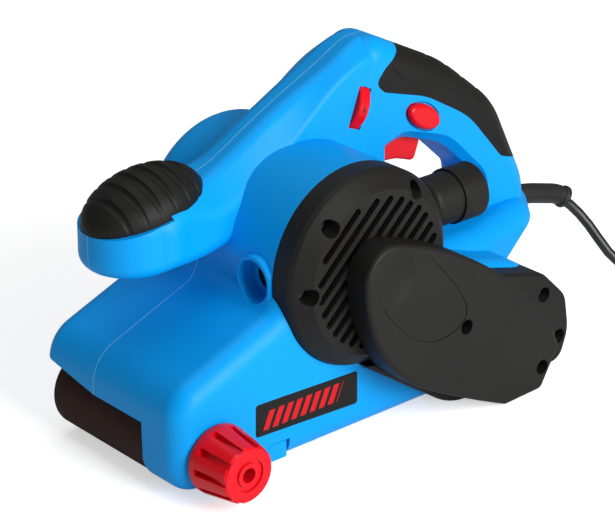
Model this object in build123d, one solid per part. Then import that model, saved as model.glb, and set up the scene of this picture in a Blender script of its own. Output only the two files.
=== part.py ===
from build123d import *
import math
import os

os.makedirs("parts", exist_ok=True)

# Hand-held belt sander for a 76 x 533 mm belt, in millimetres.
# X runs from the front roller to the cord, +Y to the operator's right, +Z up.
# The origin is on the sole, midway between the two roller axes and across the belt.

# Sanding belt and rollers
BELT_LENGTH = 533.0
BELT_WIDTH = 76.0
BELT_THICKNESS = 1.2
ROLLER_RADIUS = 21.0
ROLLER_BELT_GAP = 0.3
SLEEVE_THICKNESS = 3.0
AXLE_RADIUS = 5.0
ROLLER_BEARING_RADIUS = 11.0
ROLLER_BEARING_WIDTH = 7.0
DRIVE_SHAFT_RADIUS = 5.0

# Play between pieces
RUNNING_PLAY = 0.05
SEAT_PLAY = 0.02
SIDE_PLAY = 0.5
BODY_GAP = 0.4

# Sole and chassis
PAD_THICKNESS = 1.5
SOLE_THICKNESS = 1.5
CHASSIS_WALL = 5.0
DECK_WALL = 4.0
YOKE_ARM = 4.0
YOKE_HEIGHT = 20.0
YOKE_TRAVEL = 6.0
GUIDE_RADIUS = 3.0
GUIDE_SPACING = 44.0
SPRING_RADIUS = 5.0
SPRING_WIRE = 1.4
SPRING_TURNS = 6

# Belt release lever
LEVER_PIN_RADIUS = 2.5
CAM_RADIUS = 7.0
CAM_THROW = 6.2
LEVER_LOW = 6.0
LEVER_HIGH = 15.5

# Lower body and guard
WALL = 3.0
LEFT_FACE = 70.0
RIGHT_FACE = 44.0
SKIRT_HEIGHT = 3.2
GUARD_LIP_HEIGHT = 38.5
GUARD_LIP_RISE = 8.0
CHEEK_RIM = 5.5
GUARD_SHOULDER_HEIGHT = 58.4
GUARD_NOSE_RADIUS = 22.0
GUARD_NOSE_GAP = 1.2
LEFT_EDGE_RADIUS = 12.0
RIGHT_EDGE_RADIUS = 8.0
CHAMBER_ROOF_GAP = 3.0
CHAMBER_REAR_GAP = 5.5
DECK_HEIGHT = 64.5

# Motor room
MOTOR_X = 1.0
MOTOR_Z = 97.5
MOTOR_RADIUS = 53.5
MOTOR_LEFT = 60.0
MOTOR_RIGHT = 52.0
MOTOR_END_RADIUS = 12.0
EXHAUST_SLOTS = 16

# Front handle and neck
NOSE_CENTRE_X = -95.0
HANDLE_FRONT_HALF = 27.0
HANDLE_FRONT_BOTTOM = 104.5
PAD_X = -87.0
PAD_Z = 133.5
PAD_SLANT = 11.3
PAD_HALF_LENGTH = 35.0
PAD_HALF_WIDTH = 24.8
PAD_HEIGHT = 19.0
PAD_THICKNESS_TOP = 3.5
PAD_GROOVES = 6
PAD_GROOVE_PITCH = 9.4
PAD_GROOVE_RADIUS = 3.2
PAD_GROOVE_DEPTH = 1.6

# D-handle
GRIP_HALF = 19.0
GRIP_EDGE_RADIUS = 12.5
LOOP_LIP_DEPTH = 5.0
OVERMOULD_DEPTH = 2.5
GRIP_GROOVE_RADIUS = 4.5
GRIP_GROOVE_DEPTH = 1.8
GRIP_STEP = 0.5
REAR_TOP = 76.0
REAR_BOTTOM = 25.0
REAR_EDGE_RADIUS = 13.0

# Covers on the drive side
CAP_EDGE = 74.0
CAP_FACE = 81.5
CAP_DISC_RADIUS = 44.5
GEAR_FACE = 78.0
GEAR_BACK = 60.0
COVER_FACE = 97.5
COVER_WALL = 2.5
SLOT_PITCH = 7.05
SLOT_WIDTH = 3.9
SLOT_SLANT = 43.0
SLOT_SHIFT = 2.0
SLOT_FIELD_RADIUS = 40.8
CAP_SCREW_DEPTH = 5.5
CAP_BOSS = 4.5
DISH_X = -3.5
DISH_Z = 100.5
DISH_RADIUS = 15.0
DISH_DEPTH = 2.2

# Drive train
MODULE = 1.0
PINION_TEETH = 12
GEAR_TEETH = 34
GEAR_WIDTH = 8.0
TOOTH_PLAY = 0.3
PULLEY_PITCH = 4.0
MOTOR_PULLEY_TEETH = 14
DRIVEN_PULLEY_TEETH = 32
DRIVE_BELT_WIDTH = 8.0
DRIVE_BELT_THICKNESS = 1.8
LAYSHAFT_RADIUS = 4.0
SMALL_BEARING_RADIUS = 9.5
SMALL_BEARING_WIDTH = 6.0

# Motor
MOTOR_SHAFT_RADIUS = 4.0
MOTOR_BEARING_RADIUS = 11.0
MOTOR_BEARING_WIDTH = 7.0
ARMATURE_RADIUS = 22.0
STATOR_RADIUS = 41.0
STATOR_GAP = 0.6
CORE_LEFT = 27.0
CORE_RIGHT = 14.0
COMMUTATOR_RADIUS = 13.0
BRUSH_Y = 47.0
FAN_RADIUS = 41.0
FAN_BLADES = 12
ARMATURE_SLOTS = 12
COMMUTATOR_BARS = 24
BRUSH_WIDTH = 6.0
BRUSH_HEIGHT = 9.0
FIELD_COIL_HALF = 18.0
FIELD_COIL_HEIGHT = 4.0

# Dust outlet
TUBE_RADIUS = 14.2
TUBE_WALL = 2.0
COLLAR_RADIUS = 15.4
TUBE_Y = -54.0
TUBE_Z = 111.0
TUBE_LENGTH = 36.4
COLLAR_LENGTH = 17.0

# Tracking knob
KNOB_LENGTH = 26.0
KNOB_RADIUS = 18.6
KNOB_END_RADIUS = 15.4
KNOB_GROOVES = 10
TRACKING_SCREW_RADIUS = 3.0

# Trigger, lock button and speed dial
TRIGGER_HALF = 8.6
BUTTON_LENGTH = 25.5
BUTTON_WIDTH = 13.4
BUTTON_PROUD = 3.0
DIAL_RADIUS = 17.0
DIAL_WIDTH = 7.5

# Cord
CORD_DIAMETER = 6.2
COIL_INNER_RADIUS = 28.0
COIL_TURNS = 3.5
COIL_GAP = 0.6
TIE_THICKNESS = 1.0
SLEEVE_RADIUS = 6.0
SLEEVE_ROOT = 10.0
SLEEVE_LENGTH = 55.0
FLANGE_RADIUS = 7.2
CORD_EXIT_HEIGHT = 66.5
CORD_LANDING_Y = -40.0
CORD_BEND_RADII = (100.0, 25.0, 28.0)
TAIL_LENGTH = 45.0

belt_inner = ROLLER_RADIUS + ROLLER_BELT_GAP
belt_outer = belt_inner + BELT_THICKNESS
roller_span = (BELT_LENGTH - 2 * math.pi * (belt_inner + BELT_THICKNESS / 2)) / 2
front_x = -roller_span / 2
rear_x = roller_span / 2
axle_z = belt_outer
belt_half = BELT_WIDTH / 2


def slab(face, y_low, y_high):
    """Solid of a face drawn in X and Z, between two values of y."""
    return extrude(Plane.XZ.offset(-y_high) * face, y_high - y_low)


def bar(face, x_low, x_high):
    """Solid of a face drawn in Y and Z, between two values of x."""
    return extrude(Plane.YZ.offset(x_low) * face, x_high - x_low)


def plate(face, z_low, z_high):
    """Solid of a face drawn in X and Y, between two values of z."""
    return extrude(Plane.XY.offset(z_low) * face, z_high - z_low)


def outline(points):
    """Closed face from corners that each carry a rounding radius."""
    corners = [point[:2] for point in points]
    return make_face(FilletPolyline(*corners, radius=[point[2] for point in points], close=True))


def disc_y(radius, y_low, y_high, x, z):
    """Cylinder along Y."""
    return slab(Pos(x, z) * Circle(radius), y_low, y_high)


def ring_y(outer, inner, y_low, y_high, x, z):
    """Ring along Y."""
    return slab(Pos(x, z) * (Circle(outer) - Circle(inner)), y_low, y_high)


def turned(points, x, z):
    """Body of revolution about an axis along Y, from (radius, y) points."""
    face = make_face(Polyline(*points, close=True))
    return revolve(Pos(x, 0, z) * face, Axis((x, 0, z), (0, 1, 0)))


def box_between(low, high):
    """Block between two corners."""
    size = [b - a for a, b in zip(low, high)]
    middle = [(a + b) / 2 for a, b in zip(low, high)]
    return Pos(*middle) * Box(*size)


def bearing(outer, bore, y_low, y_high, x, z):
    """Ball bearing with a shield recess on each side."""
    rim = (outer - bore) * 0.28
    recess = ring_y(outer - rim, bore + rim, y_low, y_low + 0.6, x, z)
    recess += ring_y(outer - rim, bore + rim, y_high - 0.6, y_high, x, z)
    return ring_y(outer, bore, y_low, y_high, x, z) - recess


def save(name, shape):
    """Write one piece, or one group of like pieces, to its own file."""
    export_step(shape, f"parts/{name}.step")


def loop_face(radius):
    """Long round-ended face about both roller axes."""
    return Pos(0, axle_z) * SlotCenterToCenter(roller_span, 2 * radius)


# Sanding belt
sanding_belt = slab(loop_face(belt_outer) - loop_face(belt_inner), -belt_half, belt_half)
save("sanding_belt", sanding_belt)

# Sole: a springy plate with a slippery pad under it, between the rollers
sole_front = front_x + ROLLER_RADIUS + 20
sole_rear = rear_x - ROLLER_RADIUS - 6
pad_bottom = BELT_THICKNESS
sole_bottom = pad_bottom + PAD_THICKNESS
deck_bottom = sole_bottom + SOLE_THICKNESS
sole_shape = outline([(sole_front, -belt_half + 2, 4), (sole_rear, -belt_half + 2, 4),
                      (sole_rear, belt_half - 2, 4), (sole_front, belt_half - 2, 4)])
save("sole_pad", plate(sole_shape, pad_bottom, sole_bottom))
save("sole_plate", plate(sole_shape, sole_bottom, deck_bottom))

# Chassis: a cast plate beside the belt, with the deck that stands inside the belt loop
plate_inner = -belt_half - 3.0
plate_outer = plate_inner - CHASSIS_WALL
arm_inner = RIGHT_FACE - CHASSIS_WALL
arm_outer = arm_inner + CHASSIS_WALL
deck_top = 2 * axle_z - deck_bottom
deck_front = sole_front + 2
bearing_boss = ROLLER_BEARING_RADIUS + 4
plate_front = front_x + ROLLER_RADIUS + 27
side_plate = outline([(plate_front, deck_bottom, 6), (rear_x, axle_z - bearing_boss, bearing_boss),
                      (rear_x + bearing_boss, axle_z, bearing_boss),
                      (rear_x, axle_z + bearing_boss, bearing_boss),
                      (rear_x - 40, deck_top, 12), (plate_front, deck_top, 6)])
chassis = slab(side_plate, plate_outer, plate_inner)
deck_rear = rear_x - ROLLER_RADIUS - 3
deck_face = outline([(deck_front, deck_bottom, 2), (deck_rear, deck_bottom, 2),
                     (deck_rear, deck_top, 6), (deck_front, deck_top, 6)])
deck_hollow = outline([(deck_front + 30, deck_bottom + DECK_WALL, 3),
                       (deck_rear - DECK_WALL, deck_bottom + DECK_WALL, 3),
                       (deck_rear - DECK_WALL, deck_top - DECK_WALL, 3),
                       (deck_front + 30, deck_top - DECK_WALL, 3)])
chassis += slab(deck_face, plate_inner, belt_half - 2)
chassis -= slab(deck_hollow, plate_inner, belt_half)
arm_face = outline([(deck_rear - 24, axle_z - 10, 3), (rear_x, axle_z - bearing_boss, bearing_boss - 1),
                    (rear_x + bearing_boss, axle_z, bearing_boss - 1),
                    (rear_x, axle_z + bearing_boss, bearing_boss - 1),
                    (deck_rear - 24, axle_z + 10, 3)])
arm_root = box_between((deck_rear - 24, belt_half - 2 - DECK_WALL, axle_z - 10),
                       (deck_rear, arm_inner, axle_z + 10))
chassis += slab(arm_face, arm_inner, arm_outer) + arm_root
for y_low, y_high in ((plate_outer, plate_inner), (arm_inner, arm_outer)):
    chassis -= disc_y(ROLLER_BEARING_RADIUS + SEAT_PLAY, y_low, y_high, rear_x, axle_z)

# Front yoke: carries the front roller and slides back on two guides when the belt is released
yoke_bar_front = front_x + ROLLER_RADIUS + 5
yoke_bar_rear = yoke_bar_front + 8
yoke_arm_inner = belt_half + 1.2
yoke_arm_outer = yoke_arm_inner + YOKE_ARM
arm_low = axle_z - YOKE_HEIGHT / 2
arm_high = axle_z + YOKE_HEIGHT / 2
yoke_arm = outline([(front_x - 10, arm_low, 9), (yoke_bar_rear, arm_low, 2),
                    (yoke_bar_rear, arm_high, 2), (front_x - 10, arm_high, 9)])
yoke = slab(yoke_arm, -yoke_arm_outer, -yoke_arm_inner) + slab(yoke_arm, yoke_arm_inner, yoke_arm_outer)
yoke += box_between((yoke_bar_front, -yoke_arm_inner, arm_low), (yoke_bar_rear, yoke_arm_inner, arm_high))
guide_ys = (-GUIDE_SPACING / 2, GUIDE_SPACING / 2)
for y in guide_ys:
    yoke -= bar(Pos(y, axle_z) * Circle(GUIDE_RADIUS + RUNNING_PLAY), yoke_bar_front, yoke_bar_rear)
for side in (-1, 1):
    y_low, y_high = sorted((side * yoke_arm_inner, side * yoke_arm_outer))
    yoke -= disc_y(AXLE_RADIUS + SEAT_PLAY, y_low, y_high, front_x, axle_z)

# The tab that the lever's cam pushes back
lever_x = front_x + ROLLER_RADIUS + 2.0
lever_y = -LEFT_FACE + 13.0
cam_low = axle_z - 3.5
cam_high = axle_z + 3.5
tab_front = lever_x + CAM_RADIUS + BODY_GAP
tab_rear = tab_front + 9.0
yoke += box_between((tab_front, lever_y - 8, cam_low), (tab_rear, -yoke_arm_outer + 1.5, cam_high))
save("front_yoke", yoke)

guide_front = yoke_bar_front + YOKE_TRAVEL - 3.6
guides = [bar(Pos(y, axle_z) * Circle(GUIDE_RADIUS), guide_front, deck_front + 16) for y in guide_ys]
save("yoke_guides", Compound(guides))
for y in guide_ys:
    chassis -= bar(Pos(y, axle_z) * Circle(GUIDE_RADIUS + SEAT_PLAY), deck_front - 1, deck_front + 16)

# Front roller on two bearings, turning on a fixed axle
axle_end = yoke_arm_outer
save("roller_axle", disc_y(AXLE_RADIUS, -axle_end, axle_end, front_x, axle_z))
hub_bore = AXLE_RADIUS + 1.0
seat = ROLLER_BEARING_RADIUS + SEAT_PLAY
seat_depth = ROLLER_BEARING_WIDTH + 1.0
roller_half = belt_half - 0.5
front_roller = turned([(hub_bore, -roller_half + seat_depth), (seat, -roller_half + seat_depth),
                       (seat, -roller_half), (ROLLER_RADIUS - 0.6, -roller_half),
                       (ROLLER_RADIUS, -roller_half + 4),
                       (ROLLER_RADIUS, roller_half - 4), (ROLLER_RADIUS - 0.6, roller_half),
                       (seat, roller_half),
                       (seat, roller_half - seat_depth), (hub_bore, roller_half - seat_depth)], front_x,
                      axle_z)
save("front_roller", front_roller)
front_bearings = []
for side in (-1, 1):
    face_y = side * (roller_half - 1.0)
    y_low, y_high = sorted((face_y, face_y - side * ROLLER_BEARING_WIDTH))
    front_bearings.append(bearing(ROLLER_BEARING_RADIUS, AXLE_RADIUS + RUNNING_PLAY, y_low, y_high,
                                  front_x, axle_z))
save("front_roller_bearings", Compound(front_bearings))

# Tension spring in its bore in the deck
spring_front = yoke_bar_rear + BODY_GAP
spring_rear = deck_front + 26
spring_bore = SPRING_RADIUS + SPRING_WIRE / 2 + BODY_GAP
chassis -= bar(Pos(0, axle_z) * Circle(spring_bore), deck_front - 1, spring_rear + BODY_GAP)
save("chassis", chassis)


def biarc(start, start_way, end, end_way):
    """Two arcs that leave start along start_way and reach end along end_way without a corner."""
    chord = end - start
    along = chord.dot(start_way + end_way)
    square = 2 * (1 - start_way.dot(end_way))
    if square < 1e-9:
        reach = chord.dot(chord) / (4 * chord.dot(end_way))
    else:
        reach = (math.sqrt(along * along + square * chord.dot(chord)) - along) / square
    middle = (start + end + (start_way - end_way) * reach) * 0.5
    first = Edge.make_tangent_arc(start, start_way, middle)
    second = Edge.make_tangent_arc(middle, first % 1, end)
    return [first, second]


def wound_tube(points, ways, radius, lead, tail):
    """Round wire along biarcs through the points, with a straight lead and tail."""
    edges = []
    if lead > 0:
        edges.append(Edge.make_line(points[0] - ways[0] * lead, points[0]))
    for i in range(len(points) - 1):
        edges += biarc(points[i], ways[i], points[i + 1], ways[i + 1])
    if tail > 0:
        edges.append(Edge.make_line(points[-1], points[-1] + ways[-1] * tail))
    path = Wire(edges)
    section = Plane(origin=path @ 0, z_dir=path % 0) * Circle(radius)
    return sweep(section, path=path), path


def helix_points(origin, axis, radius, rise, turns, steps):
    """Points and directions of a helix about an axis, at equal steps of each turn."""
    frame = Plane(origin=origin, z_dir=axis)
    points = []
    ways = []
    for i in range(turns * steps + 1):
        angle = 2 * math.pi * i / steps
        spot = frame.from_local_coords(Vector(radius * math.cos(angle), radius * math.sin(angle),
                                              rise * i / steps))
        ahead = Vector(-radius * math.sin(angle), radius * math.cos(angle), rise / (2 * math.pi))
        points.append(spot)
        ways.append((frame.from_local_coords(ahead) - frame.origin).normalized())
    return points, ways


spring_rise = (spring_rear - spring_front - SPRING_WIRE) / SPRING_TURNS
spring_points, spring_ways = helix_points(Vector(spring_front + SPRING_WIRE / 2, 0, axle_z),
                                          Vector(1, 0, 0),
                                          SPRING_RADIUS, spring_rise, SPRING_TURNS, 4)
tension_spring, _ = wound_tube(spring_points, spring_ways, SPRING_WIRE / 2, 0, 0)
save("tension_spring", tension_spring)

# Drive roller: a steel core and shaft with a rubber sleeve
core_radius = ROLLER_RADIUS - SLEEVE_THICKNESS
gear_mid = (GEAR_FACE - WALL + GEAR_BACK + WALL) / 2
gear_low = -gear_mid - GEAR_WIDTH / 2
gear_high = -gear_mid + GEAR_WIDTH / 2
drive_roller = turned([(0, gear_low - 1.5), (DRIVE_SHAFT_RADIUS, gear_low - 1.5),
                       (DRIVE_SHAFT_RADIUS, -roller_half),
                       (core_radius, -roller_half), (core_radius, roller_half),
                       (DRIVE_SHAFT_RADIUS, roller_half),
                       (DRIVE_SHAFT_RADIUS, arm_outer), (0, arm_outer)], rear_x, axle_z)
save("drive_roller", drive_roller)
save("drive_roller_sleeve", ring_y(ROLLER_RADIUS, core_radius, -roller_half, roller_half, rear_x, axle_z))
drive_bearings = []
for y_low in (plate_inner - ROLLER_BEARING_WIDTH + 2, arm_inner):
    y_high = y_low + (ROLLER_BEARING_WIDTH - 2)
    drive_bearings.append(bearing(ROLLER_BEARING_RADIUS, DRIVE_SHAFT_RADIUS + RUNNING_PLAY, y_low, y_high,
                                  rear_x, axle_z))
save("drive_roller_bearings", Compound(drive_bearings))


def involute_gear(teeth, play, start_angle):
    """Face of a spur gear with a 25 degree pressure angle, one tooth centred on start_angle."""
    pitch_radius = MODULE * teeth / 2
    pressure = math.radians(25)
    base = pitch_radius * math.cos(pressure)
    root = pitch_radius - 1.2 * MODULE
    tip = pitch_radius + 0.95 * MODULE
    half_tooth = math.pi / (2 * teeth) - play / 2 / pitch_radius

    def flank_angle(radius):
        roll = math.acos(base / max(radius, base))
        return half_tooth + (math.tan(pressure) - pressure) - (math.tan(roll) - roll)

    flank = [root, max(base, root), (max(base, root) + tip) / 2, tip]
    corners = []
    for k in range(teeth):
        middle = start_angle + 2 * math.pi * k / teeth
        rising = [(r, middle - flank_angle(r)) for r in flank]
        falling = [(r, middle + flank_angle(r)) for r in reversed(flank)]
        corners += [(r * math.cos(a), r * math.sin(a)) for r, a in rising + falling]
    kept = [c for i, c in enumerate(corners) if math.dist(c, corners[i - 1]) > 1e-4]
    return make_face(Polyline(*kept, close=True))


# Gear pair: the drive gear on the roller shaft and the pinion on the layshaft
centre_distance = MODULE * (GEAR_TEETH + PINION_TEETH) / 2
slope = math.atan2(MOTOR_Z - axle_z, MOTOR_X - rear_x)
lay_x = rear_x + centre_distance * math.cos(slope)
lay_z = axle_z + centre_distance * math.sin(slope)
gear_tip = MODULE * (GEAR_TEETH / 2 + 1)
pinion_tip = MODULE * (PINION_TEETH / 2 + 1)
gear_face = involute_gear(GEAR_TEETH, TOOTH_PLAY, slope) - Circle(DRIVE_SHAFT_RADIUS)
web = Circle(gear_tip - 4.5) - Circle(DRIVE_SHAFT_RADIUS + 3.5)
drive_gear = slab(Pos(rear_x, axle_z) * gear_face, gear_low, gear_high)
for y_low in (gear_low, gear_high - 2):
    drive_gear -= slab(Pos(rear_x, axle_z) * web, y_low, y_low + 2)
save("drive_gear", drive_gear)

pulley_low = -COVER_FACE + COVER_WALL + 1.5
pulley_high = pulley_low + DRIVE_BELT_WIDTH + 2.5
pinion_turn = slope + math.pi + math.pi / PINION_TEETH
pinion_face = involute_gear(PINION_TEETH, TOOTH_PLAY, pinion_turn)
inner_bearing_high = -GEAR_BACK + SMALL_BEARING_WIDTH
layshaft = slab(Pos(lay_x, lay_z) * pinion_face, gear_low, gear_high)
layshaft += disc_y(LAYSHAFT_RADIUS, pulley_low, inner_bearing_high, lay_x, lay_z)
save("layshaft", layshaft)
lay_bearings = [bearing(SMALL_BEARING_RADIUS, LAYSHAFT_RADIUS + RUNNING_PLAY, -GEAR_BACK,
                        inner_bearing_high, lay_x, lay_z),
                bearing(SMALL_BEARING_RADIUS, LAYSHAFT_RADIUS + RUNNING_PLAY, -GEAR_FACE,
                        -GEAR_FACE + WALL, lay_x, lay_z)]
save("layshaft_bearings", Compound(lay_bearings))


def pulley(teeth, bore, x, z):
    """Toothed pulley with a flange on each side."""
    radius = teeth * PULLEY_PITCH / (2 * math.pi)
    face = Circle(radius)
    for k in range(teeth):
        turn = 360 * k / teeth
        face -= Rot(0, 0, turn) * Pos(radius, 0) * Rectangle(2.2, PULLEY_PITCH * 0.45)
    body = slab(Pos(x, z) * face, pulley_low, pulley_high)
    flange = 1.0
    for y_low in (pulley_low, pulley_high - flange):
        body += disc_y(radius + 1.4, y_low, y_low + flange, x, z)
    return body - disc_y(bore, pulley_low, pulley_high, x, z)


motor_pulley_radius = MOTOR_PULLEY_TEETH * PULLEY_PITCH / (2 * math.pi)
driven_pulley_radius = DRIVEN_PULLEY_TEETH * PULLEY_PITCH / (2 * math.pi)
save("motor_pulley", pulley(MOTOR_PULLEY_TEETH, MOTOR_SHAFT_RADIUS, MOTOR_X, MOTOR_Z))
save("driven_pulley", pulley(DRIVEN_PULLEY_TEETH, LAYSHAFT_RADIUS, lay_x, lay_z))


def belt_loop(grow):
    """Face inside a taut loop round both pulleys."""
    circles = [Pos(MOTOR_X, MOTOR_Z) * Circle(motor_pulley_radius + grow),
               Pos(lay_x, lay_z) * Circle(driven_pulley_radius + grow)]
    return make_hull(circles[0].edges() + circles[1].edges())


belt_low = pulley_low + 1.25
drive_belt = slab(belt_loop(ROLLER_BELT_GAP + DRIVE_BELT_THICKNESS) - belt_loop(ROLLER_BELT_GAP),
                  belt_low, belt_low + DRIVE_BELT_WIDTH)
save("drive_belt", drive_belt)

# Motor: shaft, laminated core, winding, commutator and fan
shaft_left = pulley_low
bearing_left_low = -CAP_EDGE + 1.0
bearing_right_low = MOTOR_RIGHT - WALL - MOTOR_BEARING_WIDTH
shaft_right = bearing_right_low + MOTOR_BEARING_WIDTH - 0.5
collar_left = bearing_left_low + MOTOR_BEARING_WIDTH + SIDE_PLAY
collar_right = bearing_right_low - SIDE_PLAY
thick_shaft = MOTOR_SHAFT_RADIUS + 1.5
armature_shaft = turned([(0, shaft_left), (MOTOR_SHAFT_RADIUS, shaft_left),
                         (MOTOR_SHAFT_RADIUS, collar_left),
                         (thick_shaft, collar_left), (thick_shaft, collar_right),
                         (MOTOR_SHAFT_RADIUS, collar_right),
                         (MOTOR_SHAFT_RADIUS, shaft_right), (0, shaft_right)], MOTOR_X, MOTOR_Z)
save("armature_shaft", armature_shaft)
core_face = Circle(ARMATURE_RADIUS) - Circle(thick_shaft)
for k in range(ARMATURE_SLOTS):
    core_face -= Rot(0, 0, 360 * k / ARMATURE_SLOTS) * Pos(ARMATURE_RADIUS - 3, 0) * Rectangle(8, 2.4)
save("armature_core", slab(Pos(MOTOR_X, MOTOR_Z) * core_face, -CORE_LEFT, CORE_RIGHT))
winding_reach = 8.0
windings = []
for y_low, y_high in ((-CORE_LEFT - winding_reach, -CORE_LEFT), (CORE_RIGHT, CORE_RIGHT + winding_reach)):
    windings.append(ring_y(ARMATURE_RADIUS - 4, thick_shaft, y_low, y_high, MOTOR_X, MOTOR_Z))
save("armature_winding", Compound(windings))
commutator_high = -CORE_LEFT - winding_reach
commutator_low = -BRUSH_Y - 9
bars_face = Circle(COMMUTATOR_RADIUS) - Circle(thick_shaft)
for k in range(COMMUTATOR_BARS):
    bars_face -= Rot(0, 0, 360 * k / COMMUTATOR_BARS) * Pos(COMMUTATOR_RADIUS, 0) * Rectangle(1.6, 0.5)
save("commutator", slab(Pos(MOTOR_X, MOTOR_Z) * bars_face, commutator_low, commutator_high))
fan_low = CORE_RIGHT + winding_reach + 4
fan_high = collar_right - 3.0
fan = ring_y(FAN_RADIUS, thick_shaft, fan_low, fan_low + 2, MOTOR_X, MOTOR_Z)
fan += ring_y(11, thick_shaft, fan_low, fan_high, MOTOR_X, MOTOR_Z)
for k in range(FAN_BLADES):
    blade = Rot(0, 0, 360 * k / FAN_BLADES) * Pos(26, 6) * Rot(0, 0, 14) * Rectangle(26, 1.6)
    fan += slab(Pos(MOTOR_X, MOTOR_Z) * blade, fan_low, fan_high)
save("cooling_fan", fan)
motor_bearings = [bearing(MOTOR_BEARING_RADIUS, MOTOR_SHAFT_RADIUS + RUNNING_PLAY, low,
                          low + MOTOR_BEARING_WIDTH,
                          MOTOR_X, MOTOR_Z) for low in (bearing_left_low, bearing_right_low)]
save("motor_bearings", Compound(motor_bearings))

# Stator: laminated field with two poles, and a coil round each pole
pole_bore = ARMATURE_RADIUS + STATOR_GAP
stator_face = Circle(STATOR_RADIUS) - Circle(STATOR_RADIUS - 5)
pole = Rectangle(2 * STATOR_RADIUS, 26) & Circle(STATOR_RADIUS - 1)
shoe = (Circle(pole_bore + 3.5) & Rectangle(2 * STATOR_RADIUS, 40)) - Rectangle(20, 60)
stator_face = stator_face + (pole + shoe) - Circle(pole_bore)
stator = slab(Pos(MOTOR_X, MOTOR_Z) * Rot(0, 0, 90) * stator_face, -CORE_LEFT, CORE_RIGHT)
save("stator_core", stator)
coils = []
for side in (-1, 1):
    ring = box_between((-FIELD_COIL_HALF, -CORE_LEFT - 7, 0), (FIELD_COIL_HALF, CORE_RIGHT + 7,
                                                               FIELD_COIL_HEIGHT))
    ring -= box_between((-13.2, -CORE_LEFT - 0.2, -1), (13.2, CORE_RIGHT + 0.2, FIELD_COIL_HEIGHT + 1))
    height = pole_bore + 3.8 if side > 0 else -pole_bore - 3.8 - FIELD_COIL_HEIGHT
    coils.append(Pos(MOTOR_X, 0, MOTOR_Z + height) * ring)
save("field_coils", Compound(coils))

# Brush gear: a brass holder, a carbon and a cap on each side of the commutator
holder_wall = 1.2
brush_reach = COMMUTATOR_RADIUS + RUNNING_PLAY + 0.2
holder_end = MOTOR_RADIUS - 14.0
brushes = []
holders = []
caps = []
brush_spot = Pos(MOTOR_X, -BRUSH_Y, MOTOR_Z)
half_y = BRUSH_WIDTH / 2
half_z = BRUSH_HEIGHT / 2
for side in (-1, 1):
    x_low, x_high = sorted((side * brush_reach, side * (brush_reach + 15)))
    brushes.append(brush_spot * box_between((x_low, -half_y, -half_z), (x_high, half_y, half_z)))
    x_low, x_high = sorted((side * (brush_reach + 3), side * holder_end))
    sleeve = bar(Rectangle(BRUSH_WIDTH + 2 * holder_wall, BRUSH_HEIGHT + 2 * holder_wall)
                 - Rectangle(BRUSH_WIDTH + 0.2, BRUSH_HEIGHT + 0.2), x_low, x_high)
    holders.append(brush_spot * sleeve)
    x_low, x_high = sorted((side * holder_end, side * (holder_end + 5)))
    slot_low, slot_high = sorted((side * (holder_end + 3.5), side * (holder_end + 5)))
    brush_cap = bar(Circle(8), x_low, x_high) - box_between((slot_low, -7, -1), (slot_high, 7, 1))
    caps.append(brush_spot * brush_cap)
save("carbon_brushes", Compound(brushes))
save("brush_holders", Compound(holders))
save("brush_caps", Compound(caps))

# Lower body: the guard's side outline, carried across the belt
nose_x = front_x - belt_outer - GUARD_NOSE_GAP
guard_root_x = MOTOR_X - MOTOR_RADIUS - 4.5
guard_root_z = MOTOR_Z - 13.1
rear_wall_in = rear_x + belt_outer + CHAMBER_REAR_GAP
rear_wall_out = rear_wall_in + WALL + 2
lower_face = outline([(nose_x, SKIRT_HEIGHT, 17), (nose_x, GUARD_SHOULDER_HEIGHT, GUARD_NOSE_RADIUS),
                      (guard_root_x, guard_root_z, 10), (MOTOR_X - 42, MOTOR_Z + 20, 14),
                      (MOTOR_X + 42, MOTOR_Z + 20, 14), (MOTOR_X + 62, DECK_HEIGHT + 15, 14),
                      (MOTOR_X + 115, DECK_HEIGHT, 30), (rear_wall_out, DECK_HEIGHT - 10, 13),
                      (rear_wall_out, SKIRT_HEIGHT, 13)])
lower = slab(lower_face, -LEFT_FACE, RIGHT_FACE)
left_edges = [e for e in lower.faces().sort_by(Axis.Y)[0].edges() if e.center().Z > SKIRT_HEIGHT + 0.5]
lower = fillet(left_edges, LEFT_EDGE_RADIUS)
right_edges = [e for e in lower.faces().sort_by(Axis.Y)[-1].edges() if e.center().Z > SKIRT_HEIGHT + 0.5]
lower = fillet(right_edges, RIGHT_EDGE_RADIUS)

# Motor room, a drum with a rounded right end
motor_drum = disc_y(MOTOR_RADIUS, -MOTOR_LEFT, MOTOR_RIGHT, MOTOR_X, MOTOR_Z)
motor_drum = fillet(motor_drum.faces().sort_by(Axis.Y)[-1].edges(), MOTOR_END_RADIUS)


def neck_section(base, shoulder_half, shoulder_z, shoulder_radius, crown_half, crown_z, crown_radius):
    """Handle section: upright sides, flanks that lean in, and a broad rounded crown."""
    half = min(HANDLE_FRONT_HALF, shoulder_half + 1)
    return outline([(-half, base, 8), (-shoulder_half, shoulder_z, shoulder_radius),
                    (-crown_half, crown_z, crown_radius), (crown_half, crown_z, crown_radius),
                    (shoulder_half, shoulder_z, shoulder_radius), (half, base, 8)])


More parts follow.
